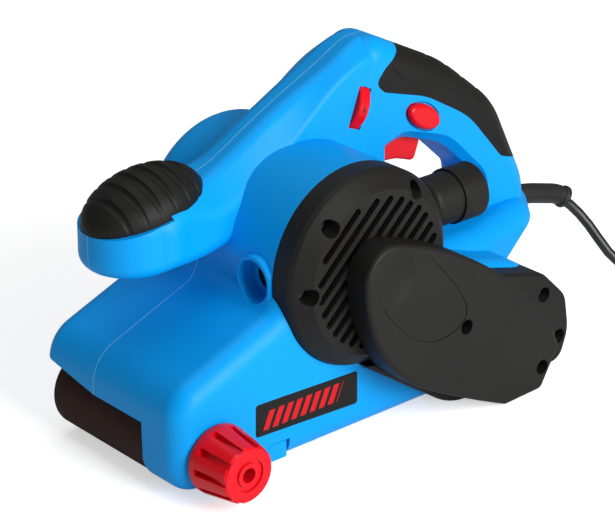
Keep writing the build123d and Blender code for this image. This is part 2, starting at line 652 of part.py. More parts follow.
# Front handle and neck: a rounded nose and a ridge that climbs to the top of the D-handle.
# Each section: x, underside, then half width, height and radius of the shoulder and of the crown.
NECK_SECTIONS = ((NOSE_CENTRE_X, HANDLE_FRONT_BOTTOM, 26.6, 131, 11, 19, 141, 10),
                 (-77, 105, 26.3, 132.5, 11, 18, 143, 10), (-59, 106.3, 25.2, 129, 11, 13, 142, 11),
                 (-41, 110, 23.2, 131.5, 11, 9, 147.5, 9), (-23, 112, 19.8, 141, 9, 9, 157.3, 8),
                 (-5, 112, 19.3, 150.5, 7, 9, 166.8, 8), (13, 112, 18.9, 164.5, 6, 9, 175.4, 8),
                 (31, 112, 18.6, 177.5, 5, 9, 184, 7), (49, 112, 18.4, 184.5, 5, 8, 192.5, 7),
                 (62, 112, 17.5, 177, 5, 6, 187.5, 5))
sections = [Plane.YZ.offset(row[0]) * neck_section(*row[1:]) for row in NECK_SECTIONS]
half_section = sections[0] & box_between((-200, 0, 0), (200, 100, 300))
nose = revolve(half_section, Axis((NOSE_CENTRE_X, 0, 0), (0, 0, 1)), 180)
front_handle = nose + loft(sections)

# Thumb pad: a rubber dome on a slanting seat on the front handle, ribbed across
pad_spot = Pos(PAD_X, 0, PAD_Z) * Rot(0, -PAD_SLANT, 0)
above_seat = box_between((-60, -60, 0), (60, 60, 60))


def dome(inset):
    """Upper half of an ellipsoid on the pad's seat, smaller all round by inset."""
    half_sizes = (PAD_HALF_LENGTH - inset, PAD_HALF_WIDTH - inset, PAD_HEIGHT - inset)
    return scale(Sphere(1), by=half_sizes) & above_seat


pad = dome(0) - dome(PAD_THICKNESS_TOP)
for k in range(PAD_GROOVES):
    x = PAD_GROOVE_PITCH * (k - (PAD_GROOVES - 1) / 2)
    share = math.sqrt(1 - (x / PAD_HALF_LENGTH) ** 2)
    rise = PAD_GROOVE_RADIUS - PAD_GROOVE_DEPTH
    bow = EllipticalCenterArc((0, 0), PAD_HALF_WIDTH * share + PAD_GROOVE_RADIUS, PAD_HEIGHT * share + rise,
                              arc_size=180)
    bow = Plane.YZ.offset(x) * bow
    pad -= sweep(Plane(origin=bow @ 0, z_dir=bow % 0) * Circle(PAD_GROOVE_RADIUS), path=bow)
save("front_grip_pad", pad_spot * pad)
front_rim = Ellipse(PAD_HALF_LENGTH + 3, PAD_HALF_WIDTH + 4) & Pos(-50, 0) * Rectangle(100, 100)
pad_zone = plate(Ellipse(PAD_HALF_LENGTH, PAD_HALF_WIDTH) + front_rim, 0, 60) - dome(PAD_THICKNESS_TOP)
front_handle += pad_spot * dome(PAD_THICKNESS_TOP)
front_handle -= pad_spot * pad_zone

# D-handle: its side outline with the finger loop
handle_face = outline([(MOTOR_X - 9, MOTOR_Z + 48, 0), (18, 160, 40), (44, 178, 10), (51.5, 198.4, 13),
                       (111, 168.4, 120), (149.6, 137.1, 55), (174.5, 85.5, 40), (176, 48, 0),
                       (60, 48, 0), (MOTOR_X, MOTOR_Z, 0)])
loop_hole = [(62, REAR_TOP + 2, 8), (60, 128.5, 8), (77, 133.5, 18), (107, 123, 40), (139, 93, 22),
             (140, REAR_TOP + 2, 5)]
loop_lip = [(58, REAR_TOP + 2, 8), (55.5, 131.5, 8), (75, 138.5, 20), (109.5, 127.5, 40), (139, 98, 24),
            (142, REAR_TOP + 2, 5)]


def handle_form(inset):
    """D-handle without its loop, shrunk all round by inset."""
    face = offset(handle_face, -inset) if inset > 0 else handle_face
    half = GRIP_HALF - inset
    body = slab(face, -half, half)
    for side in (0, -1):
        edges = [e for e in body.faces().sort_by(Axis.Y)[side].edges() if e.center().Z > 100]
        edges = [e for e in edges if e.center().X > 20]
        body = fillet(edges, GRIP_EDGE_RADIUS - inset)
    return body


handle = handle_form(0) - slab(outline(loop_hole), -GRIP_HALF - 1, GRIP_HALF + 1)
for side in (-1, 1):
    lip_plane = Plane.XZ.offset(side * GRIP_HALF)
    hole_plane = Plane.XZ.offset(side * (GRIP_HALF - LOOP_LIP_DEPTH))
    handle -= loft([lip_plane * outline(loop_lip), hole_plane * outline(loop_hole)], ruled=True)

# Rear body under the handle, narrowing to the cord
rear_plan = outline([(60, -46, 0), (112, -46, 30), (165, -30.5, 25), (190, 0, 14), (165, 28, 25),
                     (112, 43, 30), (60, 43, 0)])
rear_body = plate(rear_plan, REAR_BOTTOM, REAR_TOP)
rear_body = fillet(rear_body.faces().sort_by(Axis.Z)[-1].edges(), REAR_EDGE_RADIUS)
rear_cut = outline([(137, REAR_BOTTOM - 5, 0), (173, 56.5, 16), (230, 48, 0), (230, REAR_BOTTOM - 5, 0)])
handle -= slab(rear_cut, -60, 60)
rear_body -= slab(rear_cut, -60, 60)
for side in (-1, 1):
    tail_bevel = Plane(origin=(147.4, side * 35.6, 56.7), x_dir=(20.2, -side * 5.8, 12.9),
                       z_dir=(0.51, side * 0.45, -0.73))
    rear_body -= extrude(tail_bevel * Pos(20, 0) * Rectangle(80, 80), 40)

# Rear grip moulded over the back of the D-handle
grip_zone = outline([(84, 205, 0), (75, 185, 12), (62, 177.5, 20), (55, 169.5, 4), (61, 163.5, 6),
                     (92, 154, 60), (124, 135, 60), (150, 104.5, 8), (168, 98, 8), (200, 98, 0),
                     (200, 205, 0)])
grip = (handle_form(0) & slab(grip_zone, -30, 30)) - handle_form(OVERMOULD_DEPTH)
for x, z, lean in ((103, 172.3, 28.6), (115.2, 164.9, 35.7), (127, 155.4, 39), (138.3, 146.3, 39),
                   (148.5, 136.3, 51.6)):
    way = Vector(math.sin(math.radians(lean)), 0, math.cos(math.radians(lean)))
    centre = Vector(x, 0, z) + way * (GRIP_GROOVE_RADIUS - GRIP_GROOVE_DEPTH)
    grip -= disc_y(GRIP_GROOVE_RADIUS, -30, 30, centre.X, centre.Z)
below_step = outline([(50, 160, 0), (64, 180, 6), (74, 168.5, 8), (104, 158, 60), (134, 139.5, 50),
                      (158, 110, 0), (160, 90, 0), (120, 90, 0)])
for y_low, y_high in ((-30, -GRIP_HALF + GRIP_STEP), (GRIP_HALF - GRIP_STEP, 30)):
    grip -= slab(below_step, y_low, y_high)
save("rear_grip", grip)

shell = lower + motor_drum + front_handle + handle + rear_body
solid_form = shell
shell -= handle_form(0) & slab(grip_zone, -30, 30)
shell += handle_form(OVERMOULD_DEPTH) & slab(grip_zone, -30, 30)

# Rooms inside: the belt chamber, open below, in front under the guard's lip and to the right
chamber_roof = 2 * axle_z + CHAMBER_ROOF_GAP
chamber_face = outline([(nose_x - 8, -5, 0), (nose_x - 8, GUARD_LIP_HEIGHT, 0),
                        (nose_x + WALL, GUARD_LIP_HEIGHT, 0),
                        (nose_x + WALL, GUARD_SHOULDER_HEIGHT - WALL, GUARD_NOSE_RADIUS - WALL),
                        (guard_root_x - 11, guard_root_z - 10, 8), (guard_root_x + 12, chamber_roof, 6),
                        (rear_wall_in, chamber_roof, 24), (rear_wall_in, -5, 0)])
chamber_right = RIGHT_FACE - WALL
shell -= slab(chamber_face, plate_outer, chamber_right)
shell -= slab(loop_face(belt_outer + 2.5), chamber_right - 0.1, RIGHT_FACE + 1)
lip_end = GUARD_LIP_HEIGHT + GUARD_LIP_RISE
lip_rise = outline([(0, axle_z, 0), (0, GUARD_LIP_HEIGHT, 0), (RIGHT_FACE + 1, lip_end, 0),
                    (RIGHT_FACE + 1, axle_z, 0)])
shell -= bar(lip_rise, nose_x - 5, front_x - 5)
cheek_rim = box_between((nose_x - 1, plate_outer - 0.1, 0), (front_x - 13, plate_outer + CHEEK_RIM, 60))
shell += solid_form & cheek_rim

# Motor room with two ribs round the stator and the right bearing's seat
room_radius = MOTOR_RADIUS - WALL
room_right = MOTOR_RIGHT - WALL
room_floor = chamber_roof + WALL + 1
motor_room = disc_y(room_radius, -MOTOR_LEFT, room_right, MOTOR_X, MOTOR_Z)
motor_room = fillet(motor_room.faces().sort_by(Axis.Y)[-1].edges(), MOTOR_END_RADIUS - WALL)
above_floor = box_between((-100, -100, room_floor), (100, 100, 200))
motor_room &= above_floor
for y_low in (-CORE_LEFT + 8, CORE_RIGHT - 8):
    motor_room -= ring_y(room_radius + 1, STATOR_RADIUS + SEAT_PLAY, y_low, y_low + 4, MOTOR_X, MOTOR_Z)
motor_room -= ring_y(MOTOR_BEARING_RADIUS + 3.5, MOTOR_BEARING_RADIUS + SEAT_PLAY, bearing_right_low,
                     room_right,
                     MOTOR_X, MOTOR_Z)
shell -= motor_room
for k in range(EXHAUST_SLOTS):
    slot = Rot(0, 0, 360 * (k + 0.5) / EXHAUST_SLOTS) * Pos(28, 0) * SlotOverall(17, 4)
    shell -= slab(Pos(MOTOR_X, MOTOR_Z) * slot, room_right - 1, MOTOR_RIGHT + 1)

# Brush port: a collar on the drum's front, with the cap down inside
port_front = MOTOR_X - MOTOR_RADIUS - 2.0
port = bar(Pos(-BRUSH_Y, MOTOR_Z) * Circle(13.8), port_front, MOTOR_X - holder_end)
port = fillet(port.faces().sort_by(Axis.X)[0].edges(), 1.5)
shell += port & disc_y(MOTOR_RADIUS + 10, -MOTOR_LEFT + 0.5, 0, MOTOR_X, MOTOR_Z)
shell -= bar(Pos(-BRUSH_Y, MOTOR_Z) * Circle(11.5), port_front - 5, MOTOR_X - holder_end - 5.5)
shell -= bar(Pos(-BRUSH_Y, MOTOR_Z) * Circle(8 + SEAT_PLAY), port_front, MOTOR_X - holder_end + 1)

# Hollows in the left cheek for the release lever and its cam
pocket_face = outline([(lever_x - 17, 18, 2), (lever_x - 8, 50, 8), (lever_x + 14, 60, 8),
                       (lever_x + 31, 54, 8),
                       (lever_x + 46, 40, 8), (lever_x + 76, 33, 6), (lever_x + 116, 33, 5),
                       (lever_x + 116, 18, 2)])
pocket = slab(pocket_face, -LEFT_FACE + 3.5, plate_outer + 0.5)
pocket -= Pos(lever_x, lever_y, 44) * Cylinder(6.5, 34)
recess = box_between((lever_x - 10, -LEFT_FACE - 2, LEVER_LOW - 0.5),
                     (lever_x + 25.5, plate_outer - 1.5, LEVER_HIGH + 0.5))
recess += Pos(lever_x, lever_y, LEVER_HIGH) * Cylinder(10, 10)
shell -= pocket
shell -= recess

# Room in the D-handle for the switch and its wiring, and in the rear body
handle_room = outline([(49, 148, 3), (49, 172, 6), (64, 178, 10), (100, 162, 20), (140, 130, 20),
                       (163, 92, 10),
                       (170, 62, 4), (151, 62, 4), (143, 97, 14), (110, 125, 14), (84, 137.5, 14),
                       (64, 138, 4)])
shell -= slab(handle_room, -12, 12)
rear_room = outline([(136, -19, 4), (168, -12, 6), (168, 12, 6), (136, 19, 4)])
shell -= plate(rear_room, REAR_BOTTOM + 8, 66) - slab(offset(rear_cut, WALL + 1), -60, 60)
nose_room = outline([(NOSE_CENTRE_X - 21, -20, 19), (NOSE_CENTRE_X - 21, 20, 19), (-58, 20, 6),
                     (-58, -20, 6)])
shell -= plate(nose_room, HANDLE_FRONT_BOTTOM + WALL, 123)
neck_room = outline([(-40, 138, 2), (-40, 142.5, 2), (30, 176.5, 3), (30, 142, 3)])
shell -= slab(neck_room, -7, 7) - disc_y(MOTOR_RADIUS, -20, 20, MOTOR_X, MOTOR_Z)

# Dust duct from the belt chamber up to the outlet tube
duct_x = MOTOR_X + 63.0
duct_y = TUBE_Y + 6.0
duct = Pos(duct_x, duct_y, 80) * Cylinder(10, 2 * (TUBE_Z - 80))
shell += duct
shell -= Pos(duct_x, duct_y, 75) * Cylinder(7.5, 90)
tube_front = MOTOR_X + MOTOR_RADIUS + 0.6
tube_rear = tube_front + TUBE_LENGTH
shell -= bar(Pos(TUBE_Y, TUBE_Z) * Circle(TUBE_RADIUS + 0.1), tube_front - 1, tube_rear + 1)
tube = bar(Pos(TUBE_Y, TUBE_Z) * Circle(TUBE_RADIUS), tube_front, tube_rear)
tube = fillet(tube.faces().sort_by(Axis.X)[0].edges(), 4)
tube -= bar(Pos(TUBE_Y, TUBE_Z) * Circle(TUBE_RADIUS - TUBE_WALL), tube_front + TUBE_WALL, tube_rear)
tube -= Pos(duct_x, duct_y, TUBE_Z - TUBE_RADIUS) * Cylinder(7.5, 16)
save("dust_tube", tube)
collar_front = tube_rear - COLLAR_LENGTH
collar = bar(Pos(TUBE_Y, TUBE_Z) * (Circle(COLLAR_RADIUS) - Circle(TUBE_RADIUS + SEAT_PLAY)), collar_front,
             tube_rear)
collar = chamfer(collar.faces().sort_by(Axis.X)[-1].edges().sort_by(SortBy.RADIUS)[-1], 0.6)
save("dust_collar", collar)


def screw_y(x, z, seat, tip):
    """Pan-head screw along Y with a cross slot, its head outside the seat."""
    way = 1 if seat > tip else -1
    shank = disc_y(1.8, min(seat, tip), max(seat, tip), x, z)
    top = seat + way * 2.4
    head = disc_y(3.4, min(seat, top), max(seat, top), x, z)
    low, high = sorted((top - way * 1.2, top))
    for size in ((3.6, 0.9), (0.9, 3.6)):
        head -= slab(Pos(x, z) * Rectangle(*size), low, high)
    return shank + head


# Vent cap: closes the motor's left end, with slanting air slots and the left bearing's seat
cap_x = MOTOR_X
cap_z = MOTOR_Z
hub_radius = MOTOR_BEARING_RADIUS + 3.5
cap_seat = MOTOR_BEARING_RADIUS + SEAT_PLAY
cap_inner = CAP_FACE - WALL
cap_low = bearing_left_low
cap_side = [(MOTOR_RADIUS, -MOTOR_LEFT), (MOTOR_RADIUS, -CAP_EDGE + 2.5), (MOTOR_RADIUS - 1.3, -CAP_EDGE),
            (CAP_DISC_RADIUS, -CAP_FACE)]
cap_form = turned([(0, -MOTOR_LEFT)] + cap_side + [(0, -CAP_FACE)], cap_x, cap_z)
cap_end = MOTOR_BEARING_WIDTH + 0.5
cap = turned([(room_radius, -MOTOR_LEFT)] + cap_side
             + [(MOTOR_SHAFT_RADIUS + 2, -CAP_FACE), (MOTOR_SHAFT_RADIUS + 2, cap_low), (cap_seat, cap_low),
                (cap_seat, cap_low + cap_end), (hub_radius, cap_low + cap_end), (hub_radius, -cap_inner),
                (CAP_DISC_RADIUS - 2, -cap_inner), (room_radius, -CAP_EDGE + WALL)], cap_x, cap_z)
slots = Sketch()
for k in range(-5, 6):
    reach = SLOT_SHIFT + k * SLOT_PITCH
    slots += Pos(0, reach) * SlotOverall(2 * math.sqrt(SLOT_FIELD_RADIUS ** 2 - reach ** 2), SLOT_WIDTH)
slots = Rot(0, 0, SLOT_SLANT) * slots - Circle(hub_radius + 1.5)
cap -= slab(Pos(cap_x, cap_z) * slots, -CAP_FACE - 1, -cap_inner + 0.1)
cap_screws = []
cap_screw_seat = -CAP_EDGE + CAP_SCREW_DEPTH
for angle, reach in ((55, 46), (134, 45), (181, 45), (272, 45.5)):
    x = cap_x + reach * math.cos(math.radians(angle))
    z = cap_z + reach * math.sin(math.radians(angle))
    cap += disc_y(6.2, -CAP_FACE, -MOTOR_LEFT, x, z) & cap_form
    cap -= disc_y(4.6, -CAP_FACE - 1, cap_screw_seat, x, z) + disc_y(2.0, cap_screw_seat - 1,
                                                                     -MOTOR_LEFT + 1, x, z)
    boss = disc_y(6.5, -MOTOR_LEFT, -MOTOR_LEFT + CAP_BOSS, x, z) & disc_y(MOTOR_RADIUS, -MOTOR_LEFT, 0,
                                                                           cap_x, cap_z)
    shell += boss
    shell -= disc_y(1.8 + SEAT_PLAY, -MOTOR_LEFT, -MOTOR_LEFT + CAP_BOSS, x, z)
    cap_screws.append(screw_y(x, z, cap_screw_seat, -MOTOR_LEFT + CAP_BOSS - 0.5))
save("motor_vent_cap", cap)

# Gear housing: a black casing on the left flank, round behind the rear roller
gear_outline = outline([(MOTOR_X + 20, 113, 0), (88, 69, 30), (127, 58, 14), (145, 40, 14), (148.5, 18, 24),
                        (142, 0.8, 10), (58, 0.8, 40), (-3, 42.5, 20), (MOTOR_X - 20, 70, 0)])
cap_room = Pos(cap_x, cap_z) * Circle(MOTOR_RADIUS + 0.4)
gear_outline -= cap_room
gear_case = slab(gear_outline, -GEAR_FACE, -GEAR_BACK)
rim = [e for e in gear_case.faces().sort_by(Axis.Y)[0].edges() if math.hypot(e.center().X - cap_x,
                                                                             e.center().Z - cap_z) > 55]
gear_case = fillet(rim, 2.5)
gear_room = offset(gear_outline, -2.6)
gear_case -= slab(gear_room, -GEAR_FACE + WALL, -GEAR_BACK)
gear_case += ring_y(SMALL_BEARING_RADIUS + 2.5, SMALL_BEARING_RADIUS - 2, -GEAR_FACE, -GEAR_FACE + WALL,
                    lay_x, lay_z)
gear_case -= disc_y(SMALL_BEARING_RADIUS + SEAT_PLAY, -GEAR_FACE, -GEAR_FACE + WALL, lay_x, lay_z)
shell -= slab(offset(gear_outline, 0.2), -LEFT_FACE - 1, -GEAR_BACK)
shell -= disc_y(MOTOR_RADIUS + 0.4, -LEFT_FACE - 1, -MOTOR_LEFT, cap_x, cap_z)
shell -= disc_y(DRIVE_SHAFT_RADIUS + 1.5, -GEAR_BACK, plate_outer, rear_x, axle_z)
shell -= disc_y(SMALL_BEARING_RADIUS + SEAT_PLAY, -GEAR_BACK, inner_bearing_high, lay_x, lay_z)
gear_screws = []
for x, z in ((126.7, 45.5), (139.6, 16.3)):
    gear_case += disc_y(6, -GEAR_FACE + 1, -GEAR_BACK, x, z) & slab(gear_outline, -GEAR_FACE, -GEAR_BACK)
    gear_case -= disc_y(4.4, -GEAR_FACE - 1, -GEAR_FACE + 8, x, z) + disc_y(2, -GEAR_FACE, -GEAR_BACK, x, z)
    lug = outline([(x - 16, z - 8, 2), (x + 5, z - 6, 6), (x + 5, z + 6, 6), (x - 16, z + 8, 2)])
    shell += slab(lug, -GEAR_BACK, plate_outer - 2) & slab(gear_outline, -GEAR_FACE, 0)
    shell -= disc_y(1.8 + SEAT_PLAY, -GEAR_BACK, -GEAR_BACK + 9, x, z)
    gear_screws.append(screw_y(x, z, -GEAR_FACE + 8, -GEAR_BACK + 8))

# Drive-belt cover: a deep lid over both pulleys
cover_end = DISH_RADIUS + 3
end_arc = CenterArc((DISH_X, DISH_Z), cover_end, 73, 107)
top_arc = TangentArc(end_arc @ 0, (106, 48.5), tangent=-(end_arc % 0))
heel_arc = TangentArc((106, 48.5), (119.8, 24), tangent=top_arc % 1)
flank_arc = TangentArc(end_arc @ 1, (21, 29.3), tangent=end_arc % 1)
foot_arc = TangentArc((21, 29.3), (80, 0.8), tangent=flank_arc % 1)
cover_edge = [end_arc, top_arc, heel_arc, Line((119.8, 24), (107, 1.8)), Line((107, 1.8), (80, 0.8)),
              foot_arc, flank_arc]
cover_face = make_face(cover_edge)
corner_points = [v for v in cover_face.vertices() if v.X > 70 and v.Y < 26]
cover_face = fillet(corner_points, 5)
cover = slab(cover_face, -COVER_FACE, -GEAR_FACE)
cover = fillet(cover.faces().sort_by(Axis.Y)[0].edges(), 2.5)
cover -= slab(offset(cover_face, -COVER_WALL), -COVER_FACE + COVER_WALL, -GEAR_FACE)
dish_ball = (DISH_RADIUS ** 2 + DISH_DEPTH ** 2) / (2 * DISH_DEPTH)
cover += disc_y(DISH_RADIUS + 2, -COVER_FACE + 1, -COVER_FACE + COVER_WALL + 1.2, DISH_X, DISH_Z)
cover -= Pos(DISH_X, -COVER_FACE + DISH_DEPTH - dish_ball, DISH_Z) * Sphere(dish_ball)
leaf = Spline((21, 106.6), (38.6, 85.2), (47, 63.2), (33.5, 56.6), (5, 67.3), (-10.2, 85.6))
cover -= slab(trace(leaf, 0.8), -COVER_FACE, -COVER_FACE + 0.4)
cap_clear = [(0, -CAP_FACE - BODY_GAP), (CAP_DISC_RADIUS + BODY_GAP, -CAP_FACE - BODY_GAP),
             (MOTOR_RADIUS - 1.3 + BODY_GAP, -CAP_EDGE - BODY_GAP), (MOTOR_RADIUS + BODY_GAP, -MOTOR_LEFT),
             (0, -MOTOR_LEFT)]
cover -= turned(cap_clear, cap_x, cap_z)
cover_screws = []
for x, z, tip in ((48.5, 57.5, -GEAR_FACE + 8), (106.5, 15.1, -GEAR_FACE + WALL)):
    cover += disc_y(5.6, -COVER_FACE + 1, -GEAR_FACE, x, z)
    cover -= disc_y(4.2, -COVER_FACE - 1, -GEAR_FACE - 5, x, z) + disc_y(2, -COVER_FACE, -GEAR_FACE, x, z)
    if tip > -GEAR_FACE + WALL:
        gear_case += disc_y(5, -GEAR_FACE + 1, -GEAR_BACK, x, z)
    gear_case -= disc_y(1.8 + SEAT_PLAY, -GEAR_FACE, tip + 0.5, x, z)
    cover_screws.append(screw_y(x, z, -GEAR_FACE - 5, tip))
save("drive_belt_cover", cover)
gear_case -= disc_y(MOTOR_SHAFT_RADIUS + 2, -GEAR_FACE - 1, -GEAR_BACK, cap_x, cap_z)
save("gear_housing", gear_case)
save("cover_screws", Compound(cap_screws + gear_screws + cover_screws))

# Release lever: swings out from the cheek, and its cam pushes the yoke back
lever = Pos(lever_x, lever_y, (LEVER_LOW + LEVER_HIGH) / 2) * Cylinder(8.5, LEVER_HIGH - LEVER_LOW)
arm_plan = outline([(lever_x, lever_y - 8, 2), (lever_x + 13, -LEFT_FACE + 0.3, 4),
                    (lever_x + 24.5, -LEFT_FACE + 0.3, 2),
                    (lever_x + 24.5, -LEFT_FACE + 7, 3), (lever_x + 6, lever_y + 5, 3)])
lever += plate(arm_plan, LEVER_LOW, LEVER_HIGH)
cam_root = Pos(lever_x, lever_y) * Circle(6)
cam_nose = Pos(lever_x, lever_y + CAM_THROW) * Circle(CAM_RADIUS)
cam_plan = make_hull(cam_root.edges() + cam_nose.edges())
lever += plate(cam_plan, cam_low, cam_high)
lever += Pos(lever_x, lever_y, (LEVER_HIGH + cam_low) / 2) * Cylinder(6, cam_low - LEVER_HIGH)
pin_low = LEVER_LOW + 1
pin_high = cam_high + 12
lever -= Pos(lever_x, lever_y, 20) * Cylinder(LEVER_PIN_RADIUS + RUNNING_PLAY, 40)
save("tension_lever", lever)
save("lever_pin", Pos(lever_x, lever_y, (pin_low + pin_high) / 2) * Cylinder(LEVER_PIN_RADIUS,
                                                                             pin_high - pin_low))
shell -= Pos(lever_x, lever_y, cam_high + 6) * Cylinder(LEVER_PIN_RADIUS + SEAT_PLAY, 13)

# Tracking knob and its screw, on the front axle's line
knob_back = -LEFT_FACE - BODY_GAP
knob_front = knob_back - KNOB_LENGTH
knob = turned([(TRACKING_SCREW_RADIUS + SEAT_PLAY, knob_back), (KNOB_RADIUS - 0.8, knob_back),
               (KNOB_RADIUS, knob_back - 1.5),
               (KNOB_RADIUS, knob_back - 4.5), (KNOB_END_RADIUS, knob_front + 1.2),
               (KNOB_END_RADIUS - 1.2, knob_front),
               (9, knob_front), (9, knob_front + 1), (6.5, knob_front + 1), (6.5, knob_front),
               (4, knob_front),
               (4, knob_front + 10), (TRACKING_SCREW_RADIUS + SEAT_PLAY, knob_front + 10)], front_x, axle_z)
for k in range(KNOB_GROOVES):
    notch = Rot(0, 0, 360 * k / KNOB_GROOVES) * Pos(KNOB_RADIUS + 1, 0) * Rectangle(10, 3.6)
    knob -= slab(Pos(front_x, axle_z) * notch, knob_front - 1, knob_back - 5)
save("tracking_knob", knob)
save("tracking_screw", disc_y(TRACKING_SCREW_RADIUS, knob_front + 10, -yoke_arm_outer - BODY_GAP, front_x,
                              axle_z))
shell -= disc_y(TRACKING_SCREW_RADIUS + RUNNING_PLAY, -LEFT_FACE - 1, plate_outer + 1, front_x, axle_z)

# Trigger on its pin at the front of the finger loop, with a return spring under the switch
trigger_x = 66.0
trigger_z = 128.8
trigger_face = outline([(61, 132, 2), (62.3, 121.5, 3), (69.5, 118.8, 8), (80, 117.8, 20), (93, 113.2, 3),
                        (97, 124, 4), (97, 132, 2)])
trigger = slab(trigger_face, -TRIGGER_HALF, TRIGGER_HALF)
sides = trigger.faces().sort_by(Axis.Y)
trigger = fillet([e for side in (sides[0], sides[-1]) for e in side.edges() if e.center().Z < 120.5], 1.5)
trigger -= disc_y(1.5 + RUNNING_PLAY, -TRIGGER_HALF, TRIGGER_HALF, trigger_x, trigger_z)
save("trigger", trigger)
save("trigger_pin", disc_y(1.5, -TRIGGER_HALF - 4, TRIGGER_HALF + 4, trigger_x, trigger_z))
shell -= box_between((59, -TRIGGER_HALF - 0.4, 108), (98.5, TRIGGER_HALF + 0.4, 140.5))
shell -= disc_y(1.5 + SEAT_PLAY, -TRIGGER_HALF - 4, TRIGGER_HALF + 4, trigger_x, trigger_z)
switch_low = 141.0
switch_body = box_between((68, -9.5, switch_low), (101, 9.5, 158))
switch_body -= box_between((80, -10, 152), (90, 10, 159))
switch_body += box_between((66, -12, 149), (68, 12, 157))
save("switch_body", switch_body)
coil_points, coil_ways = helix_points(Vector(92, 0, 132.8), Vector(0, 0, 1), 3.0,
                                      (switch_low - 0.8 - 132.8) / 4, 4, 4)
trigger_spring, _ = wound_tube(coil_points, coil_ways, 0.4, 0, 0)
save("trigger_spring", trigger_spring)

# Lock button on the left side of the handle
button_spot = Pos(89.2, 143.2) * Rot(0, 0, -30)
button = slab(button_spot * Ellipse(BUTTON_LENGTH / 2, BUTTON_WIDTH / 2), -GRIP_HALF - BUTTON_PROUD, -13)
button = fillet(button.faces().sort_by(Axis.Y)[0].edges(), 2.6)
save("lock_button", button)
button_rim = button_spot * Ellipse(BUTTON_LENGTH / 2 + 1.2, BUTTON_WIDTH / 2 + 1.2)
button_hole = button_spot * Ellipse(BUTTON_LENGTH / 2 + RUNNING_PLAY, BUTTON_WIDTH / 2 + RUNNING_PLAY)
shell -= slab(button_rim, -GRIP_HALF - 1, -GRIP_HALF + 1.5)
shell -= slab(button_hole, -GRIP_HALF - 1, -11)

# Speed dial: a thumb wheel that shows through a slot in the left side
dial_frame = Plane(origin=(43.5, -5.6, 158.9), x_dir=(0, 1, 0), z_dir=(0.93, 0, -0.37))
dial = extrude(dial_frame * Circle(DIAL_RADIUS), DIAL_WIDTH / 2, both=True)
dial = chamfer(dial.edges(), 0.6)
dial += extrude(dial_frame * Circle(2), DIAL_WIDTH / 2 + 3, both=True)
save("speed_dial", dial)
shell -= extrude(dial_frame * Circle(DIAL_RADIUS + 0.6), DIAL_WIDTH / 2 + 0.6, both=True)
shell -= extrude(dial_frame * Circle(2 + RUNNING_PLAY), DIAL_WIDTH / 2 + 3.5, both=True)
speed_module = box_between((54, -9, 150), (62, 12, 170)) - box_between((57, -10, 153), (63, 9, 167))
save("speed_module", speed_module)

# Mains cord: the put-away coil, the free stretch down to the floor, sleeve, clamp, tie and plug
cord_radius = CORD_DIAMETER / 2
coil_pitch = CORD_DIAMETER + COIL_GAP
layer_low = TIE_THICKNESS + 0.05 + cord_radius
layer_high = layer_low + coil_pitch
turns_total = 2 * COIL_TURNS + 0.5
turns_middle = turns_total / 2
coil_outer = COIL_INNER_RADIUS + coil_pitch * turns_middle
coil_x = 320.0
coil_y = CORD_LANDING_Y - coil_outer


def coil_state(turn):
    """Place on the coil and the direction of the cord there, after so many turns."""
    angle = math.pi / 2 - 2 * math.pi * turn
    apart = turn - turns_middle
    radius = COIL_INNER_RADIUS + coil_pitch * abs(apart)
    change = 0 if abs(apart) < 1e-6 else math.copysign(coil_pitch, apart)
    climb = min(max((turn - COIL_TURNS) / 0.5, 0), 1)
    height = layer_low + (layer_high - layer_low) * climb * climb * (3 - 2 * climb)
    rise = (layer_high - layer_low) * 6 * climb * (1 - climb) / 0.5
    spot = Vector(coil_x + radius * math.cos(angle), coil_y + radius * math.sin(angle), height)
    if turn < 1e-6 or turn > turns_total - 1e-6:
        change = 0
    way = Vector(change * math.cos(angle) + 2 * math.pi * radius * math.sin(angle),
                 change * math.sin(angle) - 2 * math.pi * radius * math.cos(angle), rise)
    return spot, way.normalized()


coil_states = [coil_state(k / 4) for k in range(int(4 * turns_total) + 1)]
cord_coil, coil_path = wound_tube([spot for spot, _ in coil_states], [way for _, way in coil_states],
                                  cord_radius,
                                  CORD_DIAMETER, CORD_DIAMETER)
save("cord_coil", cord_coil)

lead_end = Vector(coil_x - CORD_DIAMETER, coil_y + coil_outer, layer_low)
cord_route = [Vector(160, 0, CORD_EXIT_HEIGHT), Vector(185, 0, CORD_EXIT_HEIGHT), Vector(228, 0, 54.5),
              Vector(240, CORD_LANDING_Y, layer_low), lead_end]


def least_gap(path, diameter):
    """Least clear distance between two turns of a wound tube."""
    count = int(path.length / 2)
    spots = [tuple(path @ (k / count)) for k in range(count + 1)]
    apart = 25
    near = min(math.dist(a, b) for i, a in enumerate(spots) for b in spots[i + apart:])
    return near - diameter


cord_line = FilletPolyline(*cord_route, radius=CORD_BEND_RADII)
cord_lead = sweep(Plane(origin=cord_line @ 0, z_dir=cord_line % 0) * Circle(cord_radius), path=cord_line)
save("cord_lead", cord_lead)
print("bend radii", CORD_BEND_RADII)
print("lengths", round(cord_line.length), round(coil_path.length))
print("least gap between turns", round(least_gap(coil_path, CORD_DIAMETER), 2))

